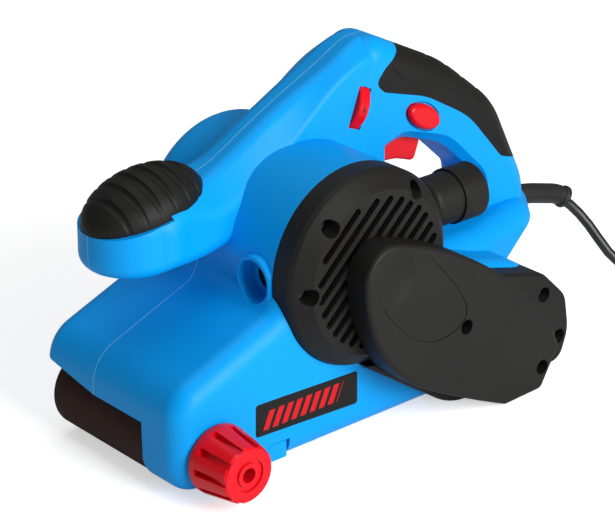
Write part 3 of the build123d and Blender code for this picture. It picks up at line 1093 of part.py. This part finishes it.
sleeve_run = (cord_route[1] - cord_route[0]).normalized()
sleeve_start = cord_route[0] + sleeve_run * SLEEVE_ROOT
sleeve_end_share = (SLEEVE_ROOT + SLEEVE_LENGTH) / cord_line.length
sleeve_line = Wire(cord_line.edges()).trim(SLEEVE_ROOT / cord_line.length, sleeve_end_share)
sleeve_plane = Plane(origin=sleeve_start, z_dir=sleeve_run)
end_plane = Plane(origin=sleeve_line @ 1, z_dir=sleeve_line % 1)
cord_sleeve = sweep(sleeve_plane * Circle(SLEEVE_RADIUS), path=sleeve_line)
cord_sleeve += Pos(sleeve_start + sleeve_run * 2) * Rot(0, 90, 0) * Cylinder(FLANGE_RADIUS, 3)
bead = extrude(end_plane * Circle(SLEEVE_RADIUS + 0.9), -4)
cord_sleeve += fillet(bead.edges(), 1.4)
sleeve_bore = sweep(sleeve_plane * Circle(cord_radius + RUNNING_PLAY), path=sleeve_line)
cord_sleeve -= sleeve_bore
cord_sleeve -= extrude(sleeve_plane * Circle(cord_radius + RUNNING_PLAY), -5)
save("cord_sleeve", cord_sleeve)
shell -= bar(Pos(0, CORD_EXIT_HEIGHT) * Circle(cord_radius + 1), 160, sleeve_start.X + 1)
flange_room = Cylinder(FLANGE_RADIUS + SEAT_PLAY, 3 + 2 * SEAT_PLAY)
shell -= Pos(sleeve_start + sleeve_run * 2) * Rot(0, 90, 0) * flange_room
shell -= sweep(sleeve_plane * Circle(SLEEVE_RADIUS + SEAT_PLAY), path=sleeve_line)
clamp_low = CORD_EXIT_HEIGHT + cord_radius - 0.3
cord_clamp = box_between((161, -12, clamp_low), (167, 12, clamp_low + 3))
cord_clamp -= bar(Pos(0, CORD_EXIT_HEIGHT) * Circle(cord_radius + SEAT_PLAY), 160, 168)
save("cord_clamp", cord_clamp)

tie_half = 4.0
tie_inner = COIL_INNER_RADIUS + 0.5 * coil_pitch - cord_radius - 0.7
tie_outer = COIL_INNER_RADIUS + 3.5 * coil_pitch + cord_radius + 0.4
tie_top = layer_high + cord_radius + 0.1
tie = box_between((coil_x + tie_inner - TIE_THICKNESS, coil_y - tie_half, 0),
                  (coil_x + tie_outer + TIE_THICKNESS, coil_y + tie_half, tie_top + TIE_THICKNESS))
tie -= box_between((coil_x + tie_inner, coil_y - tie_half - 1, TIE_THICKNESS),
                   (coil_x + tie_outer, coil_y + tie_half + 1, tie_top))
save("cord_tie", tie)

tail_start = coil_path @ 1
plug_back = tail_start.X - TAIL_LENGTH
tail = bar(Pos(tail_start.Y, tail_start.Z) * Circle(cord_radius), plug_back, tail_start.X)
save("cord_tail", tail)
plug_half = tail_start.Z
plug_sections = []
for reach, wide, high in ((0, 8.0, 6.5), (12, 9.5, 8.0), (24, 15.0, plug_half), (40, 17.5, plug_half)):
    face = RectangleRounded(2 * wide, 2 * high, min(wide, high) * 0.7)
    plug_sections.append(Plane.YZ.offset(plug_back - reach) * Pos(tail_start.Y, tail_start.Z) * face)
plug = loft(plug_sections, ruled=True)
pins = []
for y in (-9.5, 9.5):
    pin = bar(Pos(tail_start.Y + y, tail_start.Z) * Circle(2.4), plug_back - 40 - 19, plug_back - 36)
    pins.append(fillet(pin.faces().sort_by(Axis.X)[0].edges(), 1.6))
    plug -= bar(Pos(tail_start.Y + y, tail_start.Z) * Circle(2.4), plug_back - 41, plug_back - 36)
save("plug", plug)
save("plug_pins", Compound(pins))

# Housing screws, driven from the right into posts in the left half
housing_screws = []
for x, z, reach, seat in ((-98, 116, 22, 10), (0, 158, 8, 3), (52, 143, 14, 8), (118, 141, 14, 8),
                          (157, 88, 14, 8),
                          (144, 59, 26, 18), (118, 56, 14, 20)):
    shell += disc_y(6, -reach, max(reach, seat + 6), x, z) & solid_form
    shell -= disc_y(4.0, seat, 60, x, z) + disc_y(1.8 + SEAT_PLAY, -9, seat, x, z)
    housing_screws.append(screw_y(x, z, seat, -8))
save("housing_screws", Compound(housing_screws))

left_half = shell & box_between((-300, -200, -50), (300, 0, 300))
right_half = shell & box_between((-300, 0, -50), (300, 200, 300))
save("left_housing", left_half)
save("right_housing", right_half)
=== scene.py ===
import math

import bpy
import numpy as np
from mathutils import Matrix, Vector


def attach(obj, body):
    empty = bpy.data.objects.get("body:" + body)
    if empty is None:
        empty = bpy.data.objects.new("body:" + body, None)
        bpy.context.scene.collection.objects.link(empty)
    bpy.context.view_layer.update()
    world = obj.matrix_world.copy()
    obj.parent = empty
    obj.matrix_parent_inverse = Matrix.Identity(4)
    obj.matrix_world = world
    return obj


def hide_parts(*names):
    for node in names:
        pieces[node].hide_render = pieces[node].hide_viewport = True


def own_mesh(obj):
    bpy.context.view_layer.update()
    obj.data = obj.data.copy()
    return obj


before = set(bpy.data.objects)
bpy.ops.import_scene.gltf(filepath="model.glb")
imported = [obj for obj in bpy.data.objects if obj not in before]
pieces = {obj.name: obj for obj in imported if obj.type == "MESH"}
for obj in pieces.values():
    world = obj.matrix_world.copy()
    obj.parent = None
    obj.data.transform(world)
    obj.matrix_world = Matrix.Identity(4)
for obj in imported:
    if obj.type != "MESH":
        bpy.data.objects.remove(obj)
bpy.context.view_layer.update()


# Housing halves: two blue ABS mouldings, screwed together from the right, that meet on the middle plane.
# The mould is spark eroded, so the skin is a fine satin grain, and the closing line is a thin painted
# highlight:
# pale colour standing in for the light that its edge catches.
# The tension lever in the left cheek is moulded in the same blue.
def linear(hex_colour):
    """An sRGB hex colour as linear red, green, blue and alpha."""
    parts = np.array([int(hex_colour[i:i + 2], 16) for i in (1, 3, 5)]) / 255
    curve = np.where(parts <= 0.04045, parts / 12.92, ((parts + 0.055) / 1.055) ** 2.4)
    return (*curve.tolist(), 1.0)


def add(tree, kind, settings=None, inputs=None):
    """Add one node with its settings. An input that is a socket is linked, and any other is a value."""
    made = tree.nodes.new(kind)
    for name, value in (settings or {}).items():
        setattr(made, name, value)
    for name, value in (inputs or {}).items():
        if isinstance(value, bpy.types.NodeSocket):
            tree.links.new(value, made.inputs[name])
        else:
            made.inputs[name].default_value = value
    return made


def new_material(name, **sockets):
    """A material with one Principled shader: the material, its tree, the shader and Object coordinates."""
    material = bpy.data.materials.new(name)
    material.use_nodes = True
    tree = material.node_tree
    shader = next(n for n in tree.nodes if n.type == "BSDF_PRINCIPLED")
    for key, value in sockets.items():
        shader.inputs[key.replace("_", " ")].default_value = value
    place = add(tree, "ShaderNodeTexCoord").outputs["Object"]
    return material, tree, shader, place


def mottle(tree, shader, place, first, second, size_mm):
    """Base colour that drifts between two close shades over patches of that size."""
    patches = add(tree, "ShaderNodeTexNoise",
                  inputs={"Vector": place, "Scale": 1000 / size_mm, "Detail": 3.0})
    mix = add(tree, "ShaderNodeMix", {"data_type": "RGBA"},
              {"Factor": patches.outputs["Fac"], 6: linear(first), 7: linear(second)})
    tree.links.new(mix.outputs[2], shader.inputs["Base Color"])
    return mix.outputs[2]


def grain(tree, shader, place, size_mm, depth_mm, rough_low, rough_high):
    """A skin of grains of that size, as a bump that deep, that also scatters the gloss between two values."""
    noise = add(tree, "ShaderNodeTexNoise",
                inputs={"Vector": place, "Scale": 1000 / size_mm, "Detail": 2.0}).outputs["Fac"]
    bump = add(tree, "ShaderNodeBump", inputs={"Height": noise, "Distance": depth_mm / 1000})
    tree.links.new(bump.outputs["Normal"], shader.inputs["Normal"])
    gloss = add(tree, "ShaderNodeMapRange", inputs={"Value": noise, "To Min": rough_low, "To Max": rough_high})
    tree.links.new(gloss.outputs["Result"], shader.inputs["Roughness"])


def dress(material, *names):
    """Give a material to CAD nodes."""
    for name in names:
        mesh = pieces[name].data
        mesh.materials.clear()
        mesh.materials.append(material)


# Blue ABS: clean and saturated where it faces the light, with a broad soft sheen and no mirror gloss.
SEAM_HIGHLIGHT_HALF = 0.00022
blue_abs, tree, shader, place = new_material("blue_abs_moulding", IOR=1.53, Specular_IOR_Level=0.14)
skin = mottle(tree, shader, place, "#0093E0", "#009AEA", 45)
grain(tree, shader, place, 0.7, 0.012, 0.38, 0.5)
# Painted highlight: a thin pale line on the middle plane, standing in for light caught by the closing line's
# edge.
across = add(tree, "ShaderNodeSeparateXYZ", inputs={"Vector": place}).outputs["Y"]
apart = add(tree, "ShaderNodeMath", {"operation": "ABSOLUTE"}, {0: across})
on_seam_highlight = add(tree, "ShaderNodeMath", {"operation": "LESS_THAN"}, {0: apart.outputs[0], 1: SEAM_HIGHLIGHT_HALF})
with_seam_highlight = add(tree, "ShaderNodeMix", {"data_type": "RGBA"},
                {"Factor": on_seam_highlight.outputs[0], 6: skin, 7: linear("#7CC4EE")})
tree.links.new(with_seam_highlight.outputs[2], shader.inputs["Base Color"])
dress(blue_abs, "left_housing", "right_housing", "tension_lever")


# Plate on the left cheek: a thin printed foil, black with a row of slanting red bars and no lettering.
# It is stuck on flat, with rounded corners and an edge that falls away to the housing.
PLATE_CORNERS = np.array(((-0.0729, 0.0235), (-0.0039, 0.0203), (-0.0039, 0.0392), (-0.0725, 0.0419)))
PLATE_HALF_LENGTH, PLATE_HALF_HEIGHT = 0.0344, 0.0094
PLATE_ROUND = 0.0018
PLATE_THICKNESS = 0.00035
CHEEK_Y = -0.070


def surface(name, points):
    """A mesh object from a grid of points, rows by columns."""
    rows, columns = points.shape[:2]
    index = np.arange(rows * columns).reshape(rows, columns)
    quads = np.stack((index[:-1, :-1], index[:-1, 1:], index[1:, 1:], index[1:, :-1]), axis=-1)
    mesh = bpy.data.meshes.new(name)
    mesh.from_pydata(points.reshape(-1, 3).tolist(), [], quads.reshape(-1, 4).tolist())
    mesh.shade_smooth()
    made = bpy.data.objects.new(name, mesh)
    bpy.context.scene.collection.objects.link(made)
    return made


def plate_points(along, up):
    """The foil at a share along and a share up, each from -1 to 1. A row is shorter by R (1 - sqrt(1 - c^2))
    at each end, where c runs from 0 to 1 over the corner. A bilinear map spreads the rows over the four
    corners, and the face stands proud of the cheek by its thickness times 1 - max(|along|, |up|)^24."""
    into = np.clip(1 + (np.abs(up) - 1) * PLATE_HALF_HEIGHT / PLATE_ROUND, 0, 1)
    u = along * (1 - PLATE_ROUND / PLATE_HALF_LENGTH * (1 - np.sqrt(1 - into ** 2)))
    shares = ((1 - u) * (1 - up), (1 + u) * (1 - up), (1 + u) * (1 + up), (1 - u) * (1 + up))
    spot = np.stack(shares, axis=-1) / 4 @ PLATE_CORNERS
    proud = CHEEK_Y - PLATE_THICKNESS * (1 - np.maximum(np.abs(along), np.abs(up)) ** 24)
    return np.stack((spot[..., 0], proud, spot[..., 1]), axis=-1)


spread = np.sin(np.linspace(-math.pi / 2, math.pi / 2, 61))
up, along = np.meshgrid(spread, spread, indexing="ij")
cheek_plate = surface("cheek_plate", plate_points(along, up))

# Printed foil: semi-gloss black ink with clear red bars, smooth under a thin lacquer.
BAR_START, BAR_END, BAR_PITCH, BAR_LEAN = -0.080, -0.030, 0.0062, 0.45
BAR_LOW, BAR_HIGH = 0.0262, 0.0364
printed_foil, tree, shader, place = new_material("printed_foil", IOR=1.5, Specular_IOR_Level=0.2)
ink = mottle(tree, shader, place, "#121110", "#191817", 6)
grain(tree, shader, place, 1.5, 0.004, 0.34, 0.42)
parts = add(tree, "ShaderNodeSeparateXYZ", inputs={"Vector": place}).outputs
slanted = add(tree, "ShaderNodeMath", {"operation": "MULTIPLY_ADD"},
              {0: parts["Z"], 1: -BAR_LEAN, 2: parts["X"]})
steps = add(tree, "ShaderNodeMapRange", {"clamp": False},
            {"Value": slanted.outputs[0], "From Min": BAR_START, "From Max": BAR_START + BAR_PITCH})
share = add(tree, "ShaderNodeMath", {"operation": "FRACT"}, {0: steps.outputs["Result"]})
marked = add(tree, "ShaderNodeMath", {"operation": "LESS_THAN"}, {0: share.outputs[0], 1: 0.6}).outputs[0]
for value, operation, limit in ((slanted.outputs[0], "GREATER_THAN", BAR_START),
                                (slanted.outputs[0], "LESS_THAN", BAR_END),
                                (parts["Z"], "GREATER_THAN", BAR_LOW), (parts["Z"], "LESS_THAN", BAR_HIGH)):
    within = add(tree, "ShaderNodeMath", {"operation": operation}, {0: value, 1: limit}).outputs[0]
    marked = add(tree, "ShaderNodeMath", {"operation": "MULTIPLY"}, {0: marked, 1: within}).outputs[0]
print_mix = add(tree, "ShaderNodeMix", {"data_type": "RGBA"},
                {"Factor": marked, 6: ink, 7: linear("#C4101C")})
tree.links.new(print_mix.outputs[2], shader.inputs["Base Color"])
cheek_plate.data.materials.append(printed_foil)
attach(cheek_plate, "housing")


# Soft grips: black thermoplastic rubber, moulded over the D-handle's back and the front handle's seat.
# They are matt and give way a little under the hand.
soft_rubber, tree, shader, place = new_material("moulded_soft_rubber", IOR=1.5, Specular_IOR_Level=0.2)
mottle(tree, shader, place, "#131211", "#191817", 20)
grain(tree, shader, place, 0.5, 0.02, 0.46, 0.6)
dress(soft_rubber, "front_grip_pad", "rear_grip")


# Drive-side covers, vent cap and dust outlet: black glass-filled nylon, screwed on from the left.
# The glass fibre leaves the skin dull, with a coarser grain than the blue housing.
black_nylon, tree, shader, place = new_material("black_filled_nylon", IOR=1.53, Specular_IOR_Level=0.2)
mottle(tree, shader, place, "#151413", "#1C1B1A", 30)
grain(tree, shader, place, 0.6, 0.025, 0.46, 0.6)
dress(black_nylon, "motor_vent_cap", "gear_housing", "drive_belt_cover", "dust_tube", "dust_collar",
      "brush_caps", "switch_body", "cooling_fan", "cord_clamp", "cord_tie", "plug")


# Controls: trigger, lock button, speed dial and tracking knob, moulded in glossy red ABS.
# The dial's rim carries printed numbers, and one of them shows in the slot at a time.
red_abs, tree, shader, place = new_material("red_abs_moulding", IOR=1.53, Specular_IOR_Level=0.25)
mottle(tree, shader, place, "#D00416", "#DA0719", 12)
grain(tree, shader, place, 0.5, 0.006, 0.26, 0.34)
dress(red_abs, "trigger", "lock_button", "speed_dial", "tracking_knob")

DIAL_CENTRE = Vector((0.0435, -0.0056, 0.1589))
DIAL_AXIS = Vector((0.93, 0, -0.37)).normalized()
DIAL_RADIUS = 0.017
NUMBER_HEIGHT = 0.0045
NUMBER_STEP = math.radians(45)
INK_HALF = 0.00006
INK_LIFT = 0.00005

# Printing ink: dull black, a little uneven, that lies on the red without any depth to see.
ink_black, tree, shader, place = new_material("printing_ink", Specular_IOR_Level=0.3)
mottle(tree, shader, place, "#1A0B0B", "#241010", 1)
grain(tree, shader, place, 0.3, 0.002, 0.45, 0.55)
for step_number, figure in enumerate("654321"):
    text = bpy.data.curves.new("dial_number", "FONT")
    text.body = figure
    text.size = NUMBER_HEIGHT
    text.align_x = "CENTER"
    text.align_y = "CENTER"
    text.extrude = INK_HALF
    flat = bpy.data.objects.new("dial_number_flat", text)
    bpy.context.scene.collection.objects.link(flat)
    mesh = bpy.data.meshes.new_from_object(flat.evaluated_get(bpy.context.evaluated_depsgraph_get()))
    bpy.data.objects.remove(flat)
    outward = Matrix.Rotation(-NUMBER_STEP * step_number, 3, DIAL_AXIS) @ Vector((0, -1, 0))
    upright = outward.cross(DIAL_AXIS)
    spot = DIAL_CENTRE + outward * (DIAL_RADIUS + INK_LIFT)
    mesh.transform(Matrix((DIAL_AXIS, upright, outward)).transposed().to_4x4())
    mesh.transform(Matrix.Translation(spot))
    mesh.materials.clear()
    mesh.materials.append(ink_black)
    number = bpy.data.objects.new("dial_number_" + figure, mesh)
    bpy.context.scene.collection.objects.link(number)
    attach(number, "speed_dial")


# Sanding belt: brown oxide grit glued to cloth, an endless loop over the two rollers.
# Single grains catch the light against the dark bond between them.
grit_cloth, tree, shader, place = new_material("oxide_grit_on_cloth", IOR=1.5, Specular_IOR_Level=0.3)
mottle(tree, shader, place, "#140A07", "#40241C", 0.9)
grain(tree, shader, place, 0.9, 0.25, 0.75, 0.95)
dress(grit_cloth, "sanding_belt")


# Drive roller, shafts, bearings, pins and screws: steel, turned, ground or headed, and left bare.
# It is bright, with fine tool marks that break up the reflections.
steel, tree, shader, place = new_material("ground_steel", Metallic=1.0)
mottle(tree, shader, place, "#8C8D8F", "#A0A1A3", 8)
grain(tree, shader, place, 0.4, 0.004, 0.26, 0.4)
dress(steel, "housing_screws", "cover_screws", "yoke_guides", "lever_pin", "roller_axle",
      "front_roller_bearings", "drive_roller_bearings", "layshaft_bearings", "motor_bearings", "drive_roller",
      "drive_gear", "layshaft", "armature_shaft", "trigger_pin", "tracking_screw", "sole_plate")


# Springs: wound steel wire. The tension spring pushes the yoke forward from the chassis, and the trigger spring
# pushes the trigger down from the switch.
def spring_points(start, along, radius, wire, turns):
    """A wire wound round a line from start: at a share t of the line and an angle a round the wire,
    P = start + t along + radius n(t) + r(t) (cos a n(t) + sin a b(t)), where n turns about the line,
    b is across n and the wire's way, and r is the wire's radius, drawn in to a hair at the two cut ends."""
    reach = along.length
    line = np.array(along.normalized())
    side = np.array(along.orthogonal().normalized())
    rise = np.cross(line, side)
    t = np.linspace(0, 1, turns * 32 + 1)
    t = np.concatenate(((0.0,), t, (1.0,)))[:, None]
    turned = 2 * math.pi * turns * t
    n = np.cos(turned) * side + np.sin(turned) * rise
    ahead = (np.cos(turned) * rise - np.sin(turned) * side) * 2 * math.pi * turns * radius + line * reach
    b = np.cross(ahead / np.linalg.norm(ahead, axis=1, keepdims=True), n)
    centre = np.array(start) + t * reach * line + radius * n
    thick = np.full((len(t), 1), wire / 2)
    thick[[0, -1]] = wire / 200
    a = np.linspace(0, 2 * math.pi, 17)[None, :, None]
    return centre[:, None] + thick[:, None] * (np.cos(a) * n[:, None] + np.sin(a) * b[:, None])


for name, joint, start, along, radius, wire, turns, anchor, keep in (
        ("tension_spring", "carriage_slide", (-0.06375, 0, 0.0225), Vector((0.0332, 0, 0)), 0.005, 0.0014, 6,
         (-0.02985, 0, 0.0225), 0.82),
        ("trigger_spring", "trigger_pull", (0.092, 0, 0.1328), Vector((0, 0, 0.0074)), 0.003, 0.0008, 4,
         (0.092, 0, 0.141), 0.54)):
    spring = surface(name + "_wire", spring_points(start, along, radius, wire, turns))
    spring.data.materials.append(steel)
    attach(spring, "housing")
    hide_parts(name)
    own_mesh(spring)


# Chassis, yoke, front roller and pulleys: aluminium, die cast and then bored where shafts run.
# The skin is pale and slightly rough, as it leaves the die.
aluminium, tree, shader, place = new_material("cast_aluminium", Metallic=1.0)
mottle(tree, shader, place, "#9A9B9D", "#ADAEB0", 12)
grain(tree, shader, place, 0.8, 0.03, 0.38, 0.55)
dress(aluminium, "chassis", "front_yoke", "front_roller", "motor_pulley", "driven_pulley")


# Sole pad and brushes: pressed graphite, glued under the sole plate and sprung against the commutator.
# It is soft and dark, and its face polishes in patches as it wears.
graphite, tree, shader, place = new_material("pressed_carbon")
mottle(tree, shader, place, "#1E1E20", "#2A2A2D", 2)
grain(tree, shader, place, 0.6, 0.02, 0.45, 0.7)
dress(graphite, "carbon_brushes", "sole_pad")


# Drive belt, roller sleeve and cord sleeve: black rubber, moulded in closed moulds.
# It is matt, with a slight bloom that lifts the black in places.
rubber, tree, shader, place = new_material("moulded_rubber", Specular_IOR_Level=0.4)
mottle(tree, shader, place, "#171717", "#1F1F1F", 10)
grain(tree, shader, place, 0.5, 0.02, 0.45, 0.6)
dress(rubber, "drive_roller_sleeve", "drive_belt", "cord_sleeve")


# Motor: stacked iron sheets with enamelled copper round them, brass brush holders, and the speed board.
# Little of it shows, and only through the vents and the brush port.

# Iron sheets: dark and dull, with fine bands across the stack. Real sheets are 0.5 mm, too fine to show, so the
# bands are drawn 3.14 mm apart.
BAND_MM = math.pi
WAVE_RATE = 20
BAND_DEPTH = 0.00004
laminations, tree, shader, place = new_material("stacked_iron_sheets", Metallic=1.0)
mottle(tree, shader, place, "#55565A", "#66676B", 6)
sheets = add(tree, "ShaderNodeTexWave", {"bands_direction": "Y"},
             {"Vector": place, "Scale": 2 * math.pi * 1000 / BAND_MM / WAVE_RATE, "Distortion": 0.0})
sheet_bump = add(tree, "ShaderNodeBump", inputs={"Height": sheets.outputs["Fac"], "Distance": BAND_DEPTH})
tree.links.new(sheet_bump.outputs["Normal"], shader.inputs["Normal"])
dress(laminations, "stator_core", "armature_core")

# Enamelled copper: warm and shiny, with the lacquer's uneven ripple over the turns.
copper, tree, shader, place = new_material("enamelled_copper", Metallic=1.0)
mottle(tree, shader, place, "#A8582E", "#B8683A", 3)
grain(tree, shader, place, 0.7, 0.05, 0.28, 0.4)
dress(copper, "armature_winding", "field_coils", "commutator")

# Drawn brass: yellow and smooth, with a clear soft reflection.
brass, tree, shader, place = new_material("drawn_brass", Metallic=1.0)
mottle(tree, shader, place, "#B08D4A", "#BC9A58", 5)
grain(tree, shader, place, 0.5, 0.003, 0.24, 0.34)
dress(brass, "brush_holders", "plug_pins")

# Lacquered board: dark green under a clear coat, a little cloudy.
board, tree, shader, place = new_material("lacquered_board")
mottle(tree, shader, place, "#1D4A2A", "#225231", 4)
grain(tree, shader, place, 0.8, 0.01, 0.3, 0.45)
dress(board, "speed_module")


# Mains cord: a round black PVC lead. It leaves the rear sleeve and drops to the floor, and the length that is
# out of sight is wound in two layers and tied, with the plug beside it.
CORD_DIAMETER = 0.0062
COIL_CENTRE = (0.320, -0.0935)
COIL_INNER = 0.028
COIL_PITCH = 0.0068
COIL_TURNS = 3.5
LAYER_LOW = 0.00415
TAIL = 0.045
EXIT = (0.160, 0, 0.0665)

turns_total = 2 * COIL_TURNS + 0.5
turn = np.linspace(0, turns_total, int(turns_total * 16) + 1)
angle = math.pi / 2 - 2 * math.pi * turn
radius = COIL_INNER + COIL_PITCH * np.abs(turn - turns_total / 2)
climb = np.clip((turn - COIL_TURNS) / 0.5, 0, 1)
height = LAYER_LOW + COIL_PITCH * climb * climb * (3 - 2 * climb)
coil = np.stack((COIL_CENTRE[0] + radius * np.cos(angle), COIL_CENTRE[1] + radius * np.sin(angle), height),
                axis=1)
lead = np.array((EXIT, (0.185, 0, 0.0665), (0.228, 0, 0.0545), (0.240, -0.040, LAYER_LOW),
                 (COIL_CENTRE[0] - CORD_DIAMETER, -0.040, LAYER_LOW)))
tail_start = coil[-1] - (CORD_DIAMETER, 0, 0)
tail = np.array((tail_start, tail_start - (TAIL, 0, 0)))
route = np.concatenate((lead, coil, tail))

curve = bpy.data.curves.new("mains_cord", "CURVE")
curve.dimensions = "3D"
curve.bevel_depth = CORD_DIAMETER / 2
curve.bevel_resolution = 4
curve.resolution_u = 6
curve.use_fill_caps = True
spline = curve.splines.new("NURBS")
spline.points.add(len(route) - 1)
spline.points.foreach_set("co", np.concatenate((route, np.ones((len(route), 1))), axis=1).ravel())
spline.order_u = 3
spline.use_endpoint_u = True
mains_cord = bpy.data.objects.new("mains_cord", curve)
bpy.context.scene.collection.objects.link(mains_cord)

# PVC jacket: near black with a long narrow sheen along the cord.
cord_pvc, tree, shader, place = new_material("black_pvc_jacket", IOR=1.53)
mottle(tree, shader, place, "#121212", "#181818", 15)
grain(tree, shader, place, 0.8, 0.015, 0.34, 0.46)
curve.materials.append(cord_pvc)
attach(mains_cord, "housing")
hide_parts("cord_lead", "cord_coil", "cord_tail")


# Stage: a white floor that keeps a soft shadow, under a dim even sky that only the camera sees as white.
# The large lamp stands low on the left, so the left faces are the brightest and the front is in half shade.
FLOOR_REACH = 6.0
FLOOR_DROP = 0.0002
FLOOR_LIFT = 0.55
SKY_LIGHT = 0.2
LAMP_AIM = Vector((0.03, 0, 0.1))
floor_mesh = bpy.data.meshes.new("floor")
corners = [(FLOOR_REACH * x, FLOOR_REACH * y, 0) for x, y in ((-1, -1), (1, -1), (1, 1), (-1, 1))]
floor_mesh.from_pydata(corners, [], [(0, 1, 2, 3)])
floor = bpy.data.objects.new("floor", floor_mesh)
floor.location.z = -FLOOR_DROP
bpy.context.scene.collection.objects.link(floor)
paper, tree, shader, place = new_material("white_paper", Roughness=0.95, Specular_IOR_Level=0.1)
shader.inputs["Base Color"].default_value = linear("#F4F4F4")
seen = add(tree, "ShaderNodeLightPath").outputs["Is Camera Ray"]
lift = add(tree, "ShaderNodeMath", {"operation": "MULTIPLY"}, {0: seen, 1: FLOOR_LIFT})
shader.inputs["Emission Color"].default_value = linear("#FFFFFF")
tree.links.new(lift.outputs[0], shader.inputs["Emission Strength"])
floor_mesh.materials.append(paper)

world = bpy.data.worlds.new("studio")
world.use_nodes = True
bpy.context.scene.world = world
tree = world.node_tree
background = next(n for n in tree.nodes if n.type == "BACKGROUND")
background.inputs["Color"].default_value = (1, 1, 1, 1)
seen = add(tree, "ShaderNodeLightPath").outputs["Is Camera Ray"]
sky = add(tree, "ShaderNodeMapRange", inputs={"Value": seen, "To Min": SKY_LIGHT, "To Max": 1.0})
tree.links.new(sky.outputs["Result"], background.inputs["Strength"])


def soft_lamp(name, spot, size, watts):
    """A square soft box at a spot, facing the object's middle."""
    lamp_data = bpy.data.lights.new(name, "AREA")
    lamp_data.size = size
    lamp_data.energy = watts
    lamp = bpy.data.objects.new(name, lamp_data)
    lamp.location = spot
    lamp.rotation_euler = (LAMP_AIM - Vector(spot)).to_track_quat("-Z", "Y").to_euler()
    bpy.context.scene.collection.objects.link(lamp)


soft_lamp("key", (0.15, -1.75, 0.85), 1.1, 44)
soft_lamp("top", (0.1, 0.3, 1.9), 1.4, 9)


# Camera: stands off the front left corner, a little above the handle, with a long lens.
# The picture is 615 wide, and the lens follows from a 36 mm wide sensor.
IMAGE_WIDTH = 615
FOCAL_PIXELS = 2400.0
AZIMUTH = math.radians(40.47)
ELEVATION = math.radians(23.84)
ROLL = math.radians(-0.51)
DISTANCE = 1.31814
ASIDE = 0.01641
ABOVE = 0.07002

level_right = Vector((math.cos(AZIMUTH), -math.sin(AZIMUTH), 0))
level_up = Vector((math.sin(AZIMUTH) * math.sin(ELEVATION), math.cos(AZIMUTH) * math.sin(ELEVATION),
                   math.cos(ELEVATION)))
backward = Vector((-math.sin(AZIMUTH) * math.cos(ELEVATION), -math.cos(AZIMUTH) * math.cos(ELEVATION),
                   math.sin(ELEVATION)))
right = level_right * math.cos(ROLL) + level_up * math.sin(ROLL)
upward = level_up * math.cos(ROLL) - level_right * math.sin(ROLL)
eye = backward * DISTANCE + right * ASIDE + upward * ABOVE

camera_data = bpy.data.cameras.new("camera")
camera_data.sensor_width = 36.0
camera_data.lens = FOCAL_PIXELS * camera_data.sensor_width / IMAGE_WIDTH
camera_data.clip_end = 20.0
camera = bpy.data.objects.new("camera", camera_data)
bpy.context.scene.collection.objects.link(camera)
camera.matrix_world = Matrix((
    (right.x, upward.x, backward.x, eye.x),
    (right.y, upward.y, backward.y, eye.y),
    (right.z, upward.z, backward.z, eye.z),
    (0, 0, 0, 1)))
bpy.context.scene.camera = camera
bpy.context.scene.view_settings.view_transform = "Standard"
